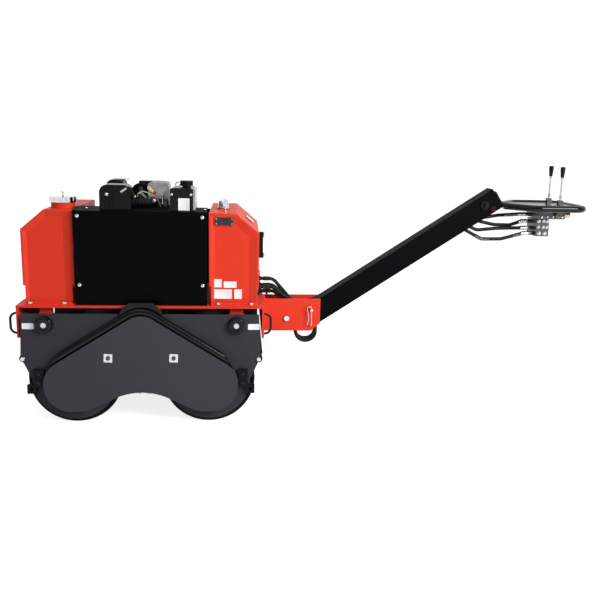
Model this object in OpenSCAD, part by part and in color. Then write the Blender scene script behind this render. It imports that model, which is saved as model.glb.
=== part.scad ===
// Walk-behind vibratory roller with two drums, in millimetres.
// X runs along the machine towards the steering handle, Y across it, Z up from the ground.
// The machine is laid out about the middle of its two drum axes and then set about its own centre.

/* [Drums] */
// Outer diameter of each drum
drum_d = 420; // [400:2:436]
// Width of each drum across the machine
drum_w = 600; // [560:5:700]
// Distance between the two drum axes
wheelbase = 600; // [580:2:616]
// Wall of a drum shell
drum_wall = 12; // [8:1:18]
// Thickness of a drum's end disc
disc_t = 10; // [8:1:16]
// Depth of an end disc inside the shell
disc_recess = 30; // [20:1:60]
// Diameter of the hollow hub journal that carries a drum
journal_d = 80; // [70:1:90]
// Diameter of the exciter shaft inside a drum
exciter_d = 40; // [30:1:46]
// Radius of the eccentric weight on the exciter shaft
weight_r = 75; // [55:1:120]
// Length of the eccentric weight
weight_l = 300; // [150:5:380]

/* [Running gear] */
// Thickness of the plate that carries the drums on each side
side_t = 8; // [6:0.5:12]
// Gap between a drum's end and the side plate
side_gap = 12; // [8:0.5:20]
// Height of the side plate's top edge above the ground
side_top = 510; // [490:2:524]
// How far the side plate reaches past the drum axis
side_past = 236; // [230:1:245]
// Radius of the side plate's round lobe about each drum axis
lobe_r = 190; // [165:1:196]
// Depth of the heart-shaped case outside the side plate
case_depth = 36; // [34:1:48]
// Sheet thickness of the case
case_t = 3; // [2:0.5:5]
// How far the case reaches past each drum axis
case_reach = 133; // [125:1:140]
// How far the case reaches below the drum axes
case_drop = 146; // [140:1:150]
// Diameter of the guard bar over the case
guard_d = 32; // [24:1:36]
// Diameter of the cross tubes that join the side plates
cross_d = 36; // [28:1:40]
// Diameter of a rubber buffer
buffer_d = 78; // [60:1:84]

/* [Frame] */
// Height of the deck's top above the ground
deck_z = 543; // [536:1:560]
// Sheet thickness of the deck and its flanges
deck_t = 10; // [8:1:14]
// How far the deck reaches past the drum axis
deck_past = 241; // [230:1:250]
// Depth of the bent flange at each end of the deck
flange_h = 148; // [120:1:155]
// Round bar of the tie-down loops
loop_d = 11; // [8:0.5:14]

/* [Tanks and hood] */
// Width of both tanks across the machine
tank_w = 540; // [500:5:560]
// Length of both tanks
tank_l = 225; // [200:1:228]
// Height of the water tank's top above the ground
water_top = 968; // [940:1:990]
// Height of the oil tank's top above the ground
oil_top = 961; // [940:1:990]
// Sheet thickness of the tanks
tank_t = 4; // [3:0.5:6]
// Width of the folded rim round a tank's side sheet
rim_w = 8; // [6:1:14]
// Length of the engine hood between the tanks
hood_l = 584; // [560:1:588]
// Height of the hood's side sheet above the ground
hood_side_z = 966; // [930:1:975]
// Height of the hood's far side sheet above the ground
hood_far_z = 930; // [880:1:950]
// Rise of the hood's shoulder above its side sheet
hood_rise = 13; // [8:1:20]
// Sheet thickness of the hood
hood_t = 3; // [2:0.5:5]

/* [Steering handle] */
// Height of the handle's hinge above the ground
hinge_z = 434; // [420:1:446]
// How far the handle's hinge stands behind the deck
hinge_past = 116; // [109:1:131]
// Height of the beam's rectangular section
beam_h = 102; // [96:1:108]
// Width of the beam's rectangular section
beam_w = 90; // [90:1:104]
// Wall of the beam
beam_t = 4; // [3:0.5:6]
// Slope of the beam above the horizontal, in degrees
beam_angle = 33.4; // [28:0.2:38]
// Length of the beam from its knee to its end
beam_l = 1044; // [900:2:1150]
// Diameter of the tube of the handle head
grip_d = 32; // [26:1:36]
// Half width of the handle head between tube centres
head_half = 175; // [160:1:190]
// Length of the handle head from the beam's end to the grip
head_l = 388; // [360:1:430]
// Height of the control levers with their knobs
lever_h = 170; // [140:1:180]
// Outer diameter of the hydraulic hoses
hose_d = 17; // [14:0.5:17.5]

/* [Hidden] */
$fn = 48;
eps = 1;               // overrun of every cut past the face that it cuts
seat = 0.3;            // gap between pieces that sit against each other
run = 0.05;            // radial clearance of a running fit
seam_gap = 0.1;
seam_l = 0.25;
axle_z = drum_d / 2;
half_base = wheelbase / 2;
side_in = drum_w / 2 + side_gap;
side_out = side_in + side_t;
case_out = side_out + case_depth;
deck_under = deck_z - deck_t;
side_half = half_base + side_past;
deck_half = half_base + deck_past;
deck_half_w = drum_w / 2;
deck_end = deck_half + deck_t;
hinge_x = deck_end + hinge_past;

// Heart-shaped case
case_apex_h = 315;     // apex of the case's sloping sides above the drum axes
case_side_h = 44;      // corner between a sloping side and the upright end, above the axes
case_foot_in = 49;     // inner corner of a lobe's foot, inwards from the drum axis
case_valley = 24;      // corner of the valley between the lobes, below the drum axes
case_apex_r = 99;
case_side_r = 110;
case_foot_r = 120;
case_valley_r = 280;
case_apex_z = axle_z + case_apex_h;
case_end_x = half_base + case_reach;
case_side_z = axle_z + case_side_h;
case_slope_angle = atan2(case_apex_z - case_side_z, case_end_x);
plug_plate = [38, 38, 1.5];
plug_at = [145, 107];  // inspection plug from the middle and above the drum axes
plug_tilt_angle = 3;
plug_d = 17;
plug_h = 8;
drain_d = 13;
drain_h = 9;
drain_xs = [-13, 30];

// Chain and belt drive inside the cases
drive_wheel_r = 92;
drive_top_r = 40;
idler_r = 26;
drive_top_drop = 128;
drive_top_z = case_apex_z - drive_top_drop;
idler_drop = 22;
idler_z = axle_z - idler_drop;
band_t = 9;
chain_w = 14;
belt_w = 14;
lip_t = 1.5;
wheel_w = 11;
wheel_lip = 4;
motor_d = 96;
motor_l = 92;
motor_flange = [120, 10];
motor_shaft_d = 25;
motor_pilot_d = 50;
motor_shaft_in = 30;

// Drum ends
bearing_od = 128;
bearing_w = 20;
hub_flange_d = 190;
hub_flange_t = 12;
hub_bolt_count = 8;
hub_bore_clear = 5;    // radial gap between exciter shaft and hollow journal
exciter_bearing_w = 18;
edge_chamfer = 3;
journal_end = case_out - case_t - 5;
far_journal_end = side_out + bearing_w / 2 - side_t / 2 + seat;
band_y = (side_out + case_out - case_t) / 2;

// Cross tubes and scrapers
cross_past = 227;
cross_x = half_base + cross_past;
cross_z = 302;
mid_tube_d = 60;
mid_tube_z = 300;
cross_wall = 4;
scraper_t = 6;
scraper_gap = 1.5;
scraper_in = 12;
plate_taper = 9;

// Buffers between the frame's lugs and the side plates
buffer_at = [425, 462];
buffer_l = 40;
lug_t = 8;
lug_r = 52;
lug_neck = 60;
cup_l = 22;
bolt_d = 20;
bolt_h = 9;

// Guard bar
guard_gap = 1.5;
guard_y = side_out + guard_d / 2 + 3;
guard_off = guard_d / 2 + guard_gap;
guard_cut = [[66, 335], [114, 258]];
bracket_top = 106;
bracket_half_w = 92;
bracket_z = [492, 524, 563];
bracket_t = 8;

// Lugs at the lower corners
corner_lug = [40, 40, 18];
corner_lug_past = 189;
corner_lug_at = [half_base + corner_lug_past, 165];
corner_lug_hole_d = 14;
corner_pad = [44, 80, 18];
corner_pad_up = 218;

// Tie-down loops
loop_reach = 36;
loop_half = 46;
loop_bend = 28;
loop_z = 460;
loop_in = 16;
loop_y = deck_half_w - loop_in;

// Tanks
water_x1 = 297;        // the water tank's inner end, measured towards the front
oil_x0 = 300;
foot_drop = 85;
foot_in = 9;
tank_chamfer = [104, 88];
dish_depth = 10;
dish_run = 26;
dish_shift = -10;
tank_floor_t = 6;
foot_flange_w = 22;
foot_bolt_in = [32, 44];
neck_d = 104;
neck_h = 26;
neck_wall = 4;
neck_at = [-354, -175];
cap_d = 118;
cap_h = 23;
cap_lip = 6;
cap_scallop_count = 12;
cap_scallop_d = 12;
cap_knob_d = 14;
cap_knob_h = 22;
spigot_clear = 1;
spigot_h = 12;
breather_at = [361, -70];
breather_d = 50;
breather_h = 42;
breather_base_d = 62;
breather_base_h = 5;
breather_bore_d = 30;
gauge_z = [738, 860];
gauge_y = -100;
gauge_w = 22;
gauge_block_h = 24;
gauge_reach = 24;
gauge_glass_d = 14;

// Hood
hood_in = 15;
hood_half_w = deck_half_w - hood_in;
hood_bottom = deck_z + seat;
hood_shoulder = 86;
hood_vent_d = 256;
hood_bolt_in = [20, 23, 92];
hood_clear = 2;
hood_foot_w = 22;

// Engine
crankcase_size = [240, 220, 230];
engine_foot = [320, 50, 12];
engine_foot_y = 60;
crank_up = 125;
fin_size = [150, 160];
fin_count = 13;
fin_pitch = 12;
fin_t = 5;
barrel_d = 118;
head_size = [180, 235, 48];
head_left = 65;
head_front = 150;
tank_arm = [60, 58, 8];
tank_arm_y = -130;
rib_inset_share = 0.04;
rocker_size = [92, 118, 96];
rocker_at = [67, -149];
rocker_r = 16;
rocker_rib_t = 5;
rocker_rib_count = 4;
air_shroud_size = [80, 120, 85];
air_shroud_at = [-62, -60];
air_shroud_r = 32;
top_plate = [111, 60, 12];
top_plate_at = [-35, -26];
top_plate_sink = 3;
top_plate_end = [23, 26];
shroud_r = 135;
shroud_l = 74;
shroud_t = 4;
recoil_r = 112;
recoil_l = 40;
flywheel_r = 118;
flywheel_l = 34;
flywheel_gap = 16;
crank_d = 28;
crank_in_pump = 12;
pump_size = [104, 96, 110];
muffler_size = [82, 118, 138];
muffler_at = [-200, 60];
muffler_drop = 45;
muffler_r = 26;
muffler_flange = [24, 34];
air_size = [137, 105, 112];
air_at = [-179, -258];
air_z = 966;
air_r = 34;
air_slot = [7, 6, 52];
air_slot_at = [22, 18];
air_slot_pitch = 16;
air_slot_count = 3;
air_duct = [40, 24, 20];
fuel_size = [101, 190, 104];
fuel_at = [129, -262];
fuel_z = 965;
fuel_r = 14;
fuel_cap_at = [67, 95];
fuel_cap_d = 58;
fuel_cap_h = 22;
fuel_cap_rib_count = 18;
fuel_cap_rib_d = 5;
fuel_neck_d = 40;
fuel_neck_h = 5;
guard_plate = [9, 150, 100];
pipe_d = 8;
pipe_r = 14;
pipe_run = [[88, -150, 975], [88, -172, 975], [88, -172, 1036], [88, -154, 1036]];
grip_size = [26, 22, 84];
grip_up = 36;
grip_stem = [8, 30];
throttle_at = [-10, -152, 1040];
throttle_arms = [12, 40];
throttle_angles = [215, -48];
throttle_post = [16, 5, 75];
throttle_boss = [16, 8];
decomp_up = [-41, 73];
decomp_len = 44;
decomp_boss = [14, 6];
decomp_angle = -43;
lever_t = 5;
lever_w = 11;

// Hitch
hitch_t = 10;
hitch_gap = 2;
hitch_past = 165;
hitch_end = hinge_x + hitch_past;
hitch_z = [370, 529];
hitch_chamfer = [43, 38];
pivot_d = 18;
pivot_head_d = 27;
pivot_head_h = 12;
lock_at = [121, 44];
lock_d = 13;
lock_clear = 0.5;
lock_stick = 26;
lock_far = 12;
lock_groove = 8;
clip_d = 4;
clip_leg = 79;
clip_loop = [23, 16];
clip_wave = [[13, 38], [20, 74]];
clip_r = 9;
knee_at = [145, 24];
root_plate_t = 8;
root_join = 28;
root_r = 58;
root_flange_x = 64;
tube_from = 75;
slot_sweep_angle = 60;
sleeve_d = 34;
end_lip = [8, 33, -45];
hose_exit = [815, 960, 80];
arc_step_angle = 4;

// Handle head
head_z = 994;
head_neck = [40, 106];
head_start_half = 33;
head_corner_r = 55;
head_bend_r = 60;
console_t = 4;
console_up = 4;
console_in = 14;
switch_back = [72, 3];
switch_d = 44;
switch_h = 12;
switch_key = [6, 10, 26];
button_back = [47, -32];
button_d = 20;
button_h = 12;
button_base_d = 30;
button_base_h = 5;
lever_x = 87;          // lever pivot before the grip tube
lever_half = 70;
lever_rise = 16;
lever_rod_d = 8;
lever_boss_d = 18;
lever_boss_w = 12;
lever_pin_d = 8;
lever_tail = 26;
clevis_t = 5;
clevis_gap = 0.4;
clevis_l = 22;
knob_l = 52;
knob_d = 23;
knob_tip_d = 16;
stub_share = 0.7;
knob_share = 0.75;
lever_slot = [46, 27];
valve_size = [130, 170, 42];
valve_back = 192;
valve_stud_d = 14;
valve_stud_in = [12, 36];
valve_drop = 14;
manifold_size = [64, 120, 82];
manifold_in = 25;
manifold_gap = 5;
relief_d = 30;
relief_l = 26;
relief_cap_d = 26;
relief_cap_l = 24;
relief_cap_back = 16;
fitting_d = 20;
fitting_l = 26;
fitting_nut_l = 12;
port_downs = [118, 94, 62, 30];

// Hydraulic hoses: places of the bends, chosen by eye from the machine's side
hose_ys = [-27, -9, 9, 27];
hose_start_zs = [583, 621, 556, 583];
hose_fit_l = 22;
port_in = 5;
port_x = deck_half - port_in;
bulkhead = [6, 84, 112];
port_fitting = [10, 8, 22];
hose_r = 46;
hose_over_back = 67;
hose_over_x = hinge_x - hose_over_back;
hose_downs = [48, 146];
hose_zs = [490, 313, 400];
hose_low = [
  [hinge_x + hose_downs[0], hose_zs[0]], [hinge_x + hose_downs[0], hose_zs[1]],
  [hinge_x + hose_downs[1], hose_zs[1]], [hinge_x + hose_downs[1], hose_zs[2]]
];
head_hose_r = 46;
hose_home_x = 667;
hose_shift = hinge_x - hose_home_x;
head_hose_turn_xs = [1485, 1505, 1530, 1545];
head_hose_lows = [[1620, 830], [1600, 872], [1690, 898], [1640, 930]];
head_hose_mids = [[1720, 832], [1700, 882], [1770, 897], [1715, 943]];

tank_bolt_xs = [
  -water_x1 - foot_bolt_in[1], -water_x1 - tank_l + foot_bolt_in[0],
  oil_x0 + foot_bolt_in[1], oil_x0 + tank_l - foot_bolt_in[0]
];
crank_z = deck_z + engine_foot[2] + crank_up;
case_top_z = deck_z + engine_foot[2] + crankcase_size[2];
head_bottom_z = case_top_z + fin_count * fin_pitch;
head_top_z = head_bottom_z + head_size[2];
oil_end = oil_x0 + tank_l;
hitch_in = beam_w / 2 + hitch_gap;
knee = [hinge_x, hinge_z] + knee_at;
beam_u = [cos(beam_angle), sin(beam_angle)];
beam_n = [-sin(beam_angle), cos(beam_angle)];
end_x = knee[0] + beam_l * cos(beam_angle);
grip_x = end_x + head_l;
console_z = head_z + console_up;
valve_top = head_z - valve_drop;
valve_x0 = grip_x - valve_back;
manifold_top = valve_top - valve_size[2] - manifold_gap;
lever_z = console_z + console_t + lever_rise;
left_end = -(deck_end + loop_reach);
right_end = grip_x + grip_d / 2;
mid_x = (left_end + right_end) / 2;

function unit(v) = v / norm(v);
function turn_deg(a, b) = acos(max(-1, min(1, unit(a) * unit(b))));

// Points of an arc that rounds the corner at p between its neighbours
function corner_arc(a, p, b, r) =
  let (
    u = unit(a - p),
    v = unit(b - p),
    half = turn_deg(u, v) / 2,
    c = p + unit(u + v) * r / sin(half),
    s = p + u * r / tan(half),
    e = p + v * r / tan(half),
    a0 = atan2(s[1] - c[1], s[0] - c[0]),
    a1 = atan2(e[1] - c[1], e[0] - c[0]),
    sweep = ((a1 - a0 + 540) % 360) - 180,
    steps = max(2, ceil(abs(sweep) / arc_step_angle))
  )
  [for (i = [0:steps]) c + r * [cos(a0 + sweep * i / steps), sin(a0 + sweep * i / steps)]];

// An outline whose corners are rounded, each with its own radius
function rounded(pts, rs) =
  let (n = len(pts))
  [for (i = [0:n - 1]) each rs[i] > 0
    ? corner_arc(pts[(i + n - 1) % n], pts[i], pts[(i + 1) % n], rs[i])
    : [pts[i]]];

// Places children drawn on the X-Z plane between y and y + t
module slab(y, t) {
  translate([0, y + t, 0])
    rotate([90, 0, 0])
      linear_extrude(t)
        children();
}

module both_sides() {
  children();
  mirror([0, 1, 0])
    children();
}

module both_ends() {
  children();
  mirror([1, 0, 0])
    children();
}

// Cylinder along Y from y to y + l
module cross_pin(x, y, z, d, l) {
  translate([x, y + l, z])
    rotate([90, 0, 0])
      cylinder(h = l, d = d);
}

// Direction towards which a line of points bends at point i, and the bend's angle
function bend_in(pts, i) =
  let (u = unit(pts[i] - pts[i - 1]), v = unit(pts[i + 1] - pts[i]))
  unit(v - u * (u * v));
function bend_deg(pts, i) = turn_deg(pts[i] - pts[i - 1], pts[i + 1] - pts[i]);

// Turn about the bar's own axis between the bend at point i and the one before it
function roll_deg(pts, i) =
  i < 2 ? 0
  : let (
      u = unit(pts[i - 1] - pts[i - 2]),
      v = unit(pts[i] - pts[i - 1]),
      b = bend_deg(pts, i - 1),
      a = bend_in(pts, i - 1) * cos(b) - u * sin(b),
      c = bend_in(pts, i)
    )
    atan2(cross(a, c) * v, a * c);

// Round bar or tube bent along a line of points, with its own bend radius at each inner point
module bent_bar(pts, d, rs) {
  u = unit(pts[1] - pts[0]);
  x = bend_in(pts, 1);
  y = cross(u, x);
  o = pts[0];
  multmatrix([[x[0], y[0], u[0], o[0]], [x[1], y[1], u[1], o[1]], [x[2], y[2], u[2], o[2]], [0, 0, 0, 1]])
    bar_from(pts, d, rs, 0);
}

// A bend and a straight meet at a fine seam, where a neck just inside the bar's surface joins them
module seam_neck(z, d) {
  translate([0, 0, z - seam_l])
    cylinder(h = seam_gap + 2 * seam_l, d = d - seam_gap);
}

module bar_from(pts, d, rs, i) {
  n = len(pts);
  before = i == 0 ? 0 : rs[i] * tan(bend_deg(pts, i) / 2);
  after = i == n - 2 ? 0 : rs[i + 1] * tan(bend_deg(pts, i + 1) / 2);
  l = norm(pts[i + 1] - pts[i]) - before - after;
  first = i == 0 ? 0 : seam_gap;
  last = i == n - 2 ? 0 : seam_gap;
  translate([0, 0, first])
    cylinder(h = l - first - last, d = d);
  if (i > 0)
    seam_neck(0, d);
  if (i < n - 2) {
    seam_neck(l - seam_gap, d);
    b = bend_deg(pts, i + 1);
    r = rs[i + 1];
    translate([0, 0, l])
      rotate(roll_deg(pts, i + 1)) {
        multmatrix([[-1, 0, 0, r], [0, 0, 1, 0], [0, 1, 0, 0], [0, 0, 0, 1]])
          rotate_extrude(angle = b)
            translate([r, 0])
              circle(d = d);
        translate([r, 0, 0])
          rotate([0, b, 0])
            translate([-r, 0, 0])
              bar_from(pts, d, rs, i + 1);
      }
  }
}

function same(n, v) = [for (i = [1:n]) v];

// The heart outline, drawn in by a sheet's thickness
function heart(in) =
  let (
    a = case_slope_angle,
    top = case_apex_z - in / cos(a),
    end = case_end_x - in,
    side = top - end * tan(a),
    foot = axle_z - case_drop + in,
    rise = atan2(case_drop - case_valley, half_base - case_foot_in),
    foot_x = half_base - case_foot_in + in * tan(rise / 2),
    valley = axle_z - case_valley + in / cos(rise)
  )
  rounded(
    [[0, top], [-end, side], [-end, foot], [-foot_x, foot], [0, valley], [foot_x, foot], [end, foot], [end, side]],
    [case_apex_r - in, case_side_r - in, case_foot_r - in, case_foot_r + in, case_valley_r - in,
      case_foot_r + in, case_foot_r - in, case_side_r - in]
  );

// Height of the case's rounded valley at x
function valley_z(x) =
  let (rise = atan2(case_drop - case_valley, half_base - case_foot_in))
  axle_z - case_valley - case_valley_r / cos(rise) + sqrt(pow(case_valley_r, 2) - x * x);

// Base frame: folded deck with end flanges, a beam between the drums and the lugs for the buffers
module base_frame() {
  color("#d93a30") {
    translate([-deck_end, -deck_half_w, deck_under])
      cube([2 * deck_end, 2 * deck_half_w, deck_t]);
    both_ends()
      translate([deck_half, -deck_half_w, deck_z - flange_h])
        cube([deck_t, 2 * deck_half_w, flange_h]);
    both_sides()
      both_ends()
        slab(side_in - buffer_l - lug_t, lug_t)
          union() {
            translate([buffer_at[0] - lug_neck / 2, buffer_at[1]])
              square([lug_neck, deck_under + eps - buffer_at[1]]);
            translate(buffer_at)
              circle(r = lug_r);
          }
    translate([-mid_tube_d / 2, -side_in + buffer_l, deck_under - mid_tube_d])
      cube([mid_tube_d, 2 * (side_in - buffer_l), mid_tube_d + eps]);
  }
}

module side_plate() {
  difference() {
    slab(side_out - side_t, side_t)
      union() {
        polygon([
          [-side_half + plate_taper, side_top], [-side_half, cross_z + cross_d / 4],
          [-half_base - lobe_r, axle_z], [-half_base, axle_z - case_drop / 2], [0, axle_z - case_valley / 2],
          [half_base, axle_z - case_drop / 2], [half_base + lobe_r, axle_z],
          [side_half, cross_z + cross_d / 4], [side_half - plate_taper, side_top]
        ]);
        for (x = [-half_base, half_base])
          translate([x, axle_z])
            circle(r = lobe_r);
      }
    for (x = [-half_base, half_base])
      cross_pin(x, side_in - eps, axle_z, bearing_od + 2 * run, side_t + 2 * eps);
    cross_pin(0, side_in - eps, drive_top_z, motor_pilot_d + 2 * seat, side_t + 2 * eps);
    for (x = [-buffer_at[0], buffer_at[0]])
      cross_pin(x, side_in - eps, buffer_at[1], bolt_d, side_t + 2 * eps);
  }
}

// Side plates with the lashing lug and the rubber-faced pad at each lower corner
module side_plates() {
  lug = corner_lug;
  pad = corner_pad;
  color("#47464b")
    both_sides()
      difference() {
        union() {
          side_plate();
          both_ends() {
            translate([corner_lug_at[0] - lug[0] / 2, side_in, corner_lug_at[1] - lug[1] / 2])
              cube([lug[0], side_t + lug[2], lug[1]]);
            translate([case_end_x + seat, side_out - eps, corner_pad_up - pad[1] / 2])
              cube([pad[0], pad[2] + eps, pad[1]]);
          }
        }
        both_ends()
          cross_pin(corner_lug_at[0], side_in - eps, corner_lug_at[1], corner_lug_hole_d,
            side_t + lug[2] + 2 * eps);
      }
}

module cross_tube(x, z, d) {
  difference() {
    cross_pin(x, -side_in, z, d, 2 * side_in);
    cross_pin(x, -side_in - eps, z, d - 2 * cross_wall, 2 * (side_in + eps));
  }
}

module cross_tubes() {
  color("#1c1c1f") {
    cross_tube(-cross_x, cross_z, cross_d);
    cross_tube(cross_x, cross_z, cross_d);
    cross_tube(0, mid_tube_z, mid_tube_d);
  }
}

module hex_bolt(d, h) {
  cylinder(h = h, d = d, $fn = 6);
}

// Zinc bolts: plate corners, buffers, tank feet, hood
module frame_bolts() {
  color("#dfe3e6") {
    both_sides()
      for (x = [-cross_x, cross_x])
        translate([x, -side_out, cross_z])
          rotate([90, 0, 0])
            cylinder(h = bolt_h, d = bolt_d);
    both_sides()
      for (x = [-buffer_at[0], buffer_at[0]])
        translate([x, -side_out - cup_l, buffer_at[1]])
          rotate([90, 0, 0])
            cylinder(h = bolt_h / 2, d = bolt_d);
    both_sides()
      for (x = tank_bolt_xs)
        translate([x, -tank_w / 2 - foot_flange_w / 2, deck_z + tank_floor_t])
          hex_bolt(bolt_d, bolt_h);
    for (s = [-1, 1], x = [-1, 1])
      for (z = [(s < 0 ? hood_side_z : hood_far_z) - hood_bolt_in[1], hood_bottom + hood_bolt_in[2]])
        translate([x * (hood_l / 2 - hood_bolt_in[0]), s * hood_half_w, z])
          rotate([-90 * s, 0, 0])
            cylinder(h = bolt_h / 2, d = bolt_d);
  }
}

module rubber_buffers() {
  color("#19191b")
    both_sides()
      for (x = [-buffer_at[0], buffer_at[0]]) {
        cross_pin(x, -side_in, buffer_at[1], buffer_d, buffer_l);
        cross_pin(x, -side_out - cup_l, buffer_at[1], buffer_d, cup_l);
      }
}

module drive_case(wall_y) {
  difference() {
    slab(wall_y, case_depth)
      polygon(heart(0));
    slab(wall_y + case_t, case_depth)
      polygon(heart(case_t));
  }
}

module chain_case() {
  color("#48494d")
    translate([0, -case_out, 0])
      drive_case(0);
}

module belt_case() {
  color("#48494d")
    mirror([0, 1, 0])
      translate([0, -case_out, 0])
        drive_case(0);
}

module case_plugs() {
  color("#c9ccce")
    both_sides() {
      for (s = [-1, 1])
        translate([s * plug_at[0], -case_out, axle_z + plug_at[1]])
          rotate([90, plug_tilt_angle, 0]) {
            translate([-plug_plate[0] / 2, -plug_plate[1] / 2, 0])
              cube(plug_plate);
            cylinder(h = plug_h, d = plug_d);
          }
      for (x = drain_xs)
        translate([x, -band_y, valley_z(abs(x) + drain_d / 2) - 2 * seat - drain_h])
          hex_bolt(drain_d, drain_h);
    }
}

// The guard bar follows the case's sloping sides and tapers to nothing at the case's corners
module guard_bar() {
  rise = guard_off / cos(case_slope_angle);
  top = case_apex_z + rise;
  end = case_end_x + guard_off;
  a = guard_cut[0] + [half_base, 0];
  b = guard_cut[1] + [half_base, 0];
  low = axle_z - case_side_r;
  far = case_end_x + case_side_r;
  pts = [[-end, guard_y, low], [-end, guard_y, top - end * tan(case_slope_angle)], [0, guard_y, top],
    [end, guard_y, top - end * tan(case_slope_angle)], [end, guard_y, low]];
  difference() {
    bent_bar(pts, guard_d, [0, case_side_r + guard_off, case_apex_r + guard_off, case_side_r + guard_off, 0]);
    both_ends()
      slab(side_out, 2 * guard_y)
        polygon([2 * a - b, b, [b[0], low - eps], [far, low - eps], [far, case_apex_z]]);
  }
}

module guard_bracket() {
  slab(side_out, bracket_t)
    difference() {
      polygon([
        [-bracket_half_w, bracket_z[0]], [-bracket_half_w, bracket_z[1]], [-bracket_top / 2, bracket_z[2]],
        [bracket_top / 2, bracket_z[2]], [bracket_half_w, bracket_z[1]], [bracket_half_w, bracket_z[0]]
      ]);
      polygon(heart(-seat));
    }
}

module guard_bars() {
  color("#141416")
    both_sides() {
      guard_bar();
      guard_bracket();
    }
}

module tie_down_loops() {
  x = deck_end;
  color("#1a1a1c")
    both_ends()
      both_sides()
        bent_bar(
          [[x, loop_y, loop_z - loop_half], [x + loop_reach - loop_d / 2, loop_y, loop_z - loop_half],
            [x + loop_reach - loop_d / 2, loop_y, loop_z + loop_half], [x, loop_y, loop_z + loop_half]],
          loop_d, [0, loop_bend, loop_bend, 0]
        );
}

// Scraper blades on the cross tubes, just clear of the drum shells
module scrapers() {
  z0 = cross_z + cross_d / 2;
  dz = z0 - axle_z;
  x0 = half_base + sqrt(pow(drum_d / 2 + scraper_gap, 2) - dz * dz);
  color("#2a2a2d")
    both_ends()
      translate([x0, -drum_w / 2 + scraper_in, z0])
        cube([cross_x + cross_d / 2 - x0, drum_w - 2 * scraper_in, scraper_t]);
}

// Steel tank in side view: x_in is its upright end, x_out its chamfered end, drawn in by a distance
function tank_outline(x_in, x_out, low, top, in) =
  let (
    s = sign(x_out - x_in),
    a = atan2(tank_chamfer[1], tank_chamfer[0]),
    corner_z = top - tank_chamfer[1],
    run_x = ((top - in - corner_z) * cos(a) + in) / sin(a)
  )
  [
    [x_in + s * in, low + in], [x_out - s * in, low + in],
    [x_out - s * in, corner_z - in * (1 - sin(a)) / cos(a)],
    [x_out - s * run_x, top - in], [x_in + s * in, top - in]
  ];

// The side sheets are pressed in as a shallow dish with sloping sides, inside a narrow rim
module tank_shell(x_in, x_out, top, mouth, mouth_d, bore_d, mouth_h) {
  low = deck_z + foot_drop;
  x0 = min(x_in, x_out);
  foot_x = x0 + foot_in;
  foot_l = tank_l - 2 * foot_in;
  floor_z = deck_z + tank_floor_t;
  difference() {
    union() {
      slab(-tank_w / 2, tank_w)
        polygon(tank_outline(x_in, x_out, low, top, 0));
      translate([foot_x, -tank_w / 2, deck_z])
        cube([foot_l, tank_w, foot_drop + eps]);
      translate([foot_x, -tank_w / 2 - foot_flange_w, deck_z])
        cube([foot_l, tank_w + 2 * foot_flange_w, tank_floor_t]);
      translate([mouth[0], mouth[1], top - eps])
        cylinder(h = mouth_h + eps, d = mouth_d);
    }
    both_sides()
      hull() {
        slab(-tank_w / 2 - eps, eps)
          polygon(tank_outline(x_in, x_out, floor_z - rim_w, top, rim_w));
        translate([dish_shift, 0, 0])
          slab(-tank_w / 2, dish_depth)
            polygon(tank_outline(x_in, x_out, floor_z - rim_w - dish_run, top, rim_w + dish_run));
      }
    slab(-tank_w / 2 + dish_depth + tank_t, tank_w - 2 * (dish_depth + tank_t))
      polygon(tank_outline(x_in, x_out, low, top, tank_t));
    translate([foot_x + tank_t, -tank_w / 2 + dish_depth + tank_t, floor_z])
      cube([foot_l - 2 * tank_t, tank_w - 2 * (dish_depth + tank_t), foot_drop]);
    translate([mouth[0], mouth[1], top - 2 * tank_t])
      cylinder(h = mouth_h + 3 * tank_t, d = bore_d);
  }
}

module water_tank() {
  color("#e0392f")
    tank_shell(-water_x1, -water_x1 - tank_l, water_top, neck_at, neck_d, neck_d - 2 * neck_wall, neck_h);
}

module oil_tank() {
  color("#f0483a")
    tank_shell(oil_x0, oil_end, oil_top, breather_at, breather_base_d, breather_bore_d, breather_base_h);
}

module level_gauge() {
  color("#1d1d20")
    translate([oil_end, gauge_y, 0]) {
      for (z = [gauge_z[0], gauge_z[1] - gauge_block_h])
        translate([0, -gauge_w / 2, z])
          cube([gauge_reach, gauge_w, gauge_block_h]);
      translate([gauge_reach / 2, 0, gauge_z[0] + gauge_block_h / 2])
        cylinder(h = gauge_z[1] - gauge_z[0] - gauge_block_h, d = gauge_glass_d);
    }
}

// Screw cap with a scalloped rim and a ball knob
module water_cap() {
  z = water_top + neck_h + seat;
  color("#c8cbce")
    translate([neck_at[0], neck_at[1], z]) {
      difference() {
        cylinder(h = cap_h, d = cap_d);
        for (i = [0:cap_scallop_count - 1])
          rotate(i * 360 / cap_scallop_count)
            translate([cap_d / 2 + cap_scallop_d / 4, 0, cap_lip])
              cylinder(h = cap_h, d = cap_scallop_d);
      }
      translate([0, 0, -spigot_h])
        cylinder(h = spigot_h + eps, d = neck_d - 2 * (neck_wall + spigot_clear));
      translate([0, 0, cap_h - eps])
        cylinder(h = cap_knob_h + eps, d = cap_knob_d / 2);
      translate([0, 0, cap_h + cap_knob_h])
        sphere(d = cap_knob_d);
    }
}

module breather_cap() {
  z = oil_top + breather_base_h + seat;
  color("#d5d8da")
    translate([breather_at[0], breather_at[1], z])
      rotate_extrude()
        polygon([
          [0, -spigot_h], [breather_bore_d / 2 - spigot_clear, -spigot_h],
          [breather_bore_d / 2 - spigot_clear, 0], [breather_d / 2, 0], [breather_d / 2, cap_lip],
          [breather_d / 2 - edge_chamfer / 2, cap_lip + edge_chamfer / 2],
          [breather_d / 2 - edge_chamfer / 2, breather_h - 3 * edge_chamfer],
          [breather_d / 2 - 4 * edge_chamfer, breather_h], [0, breather_h]
        ]);
}

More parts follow.
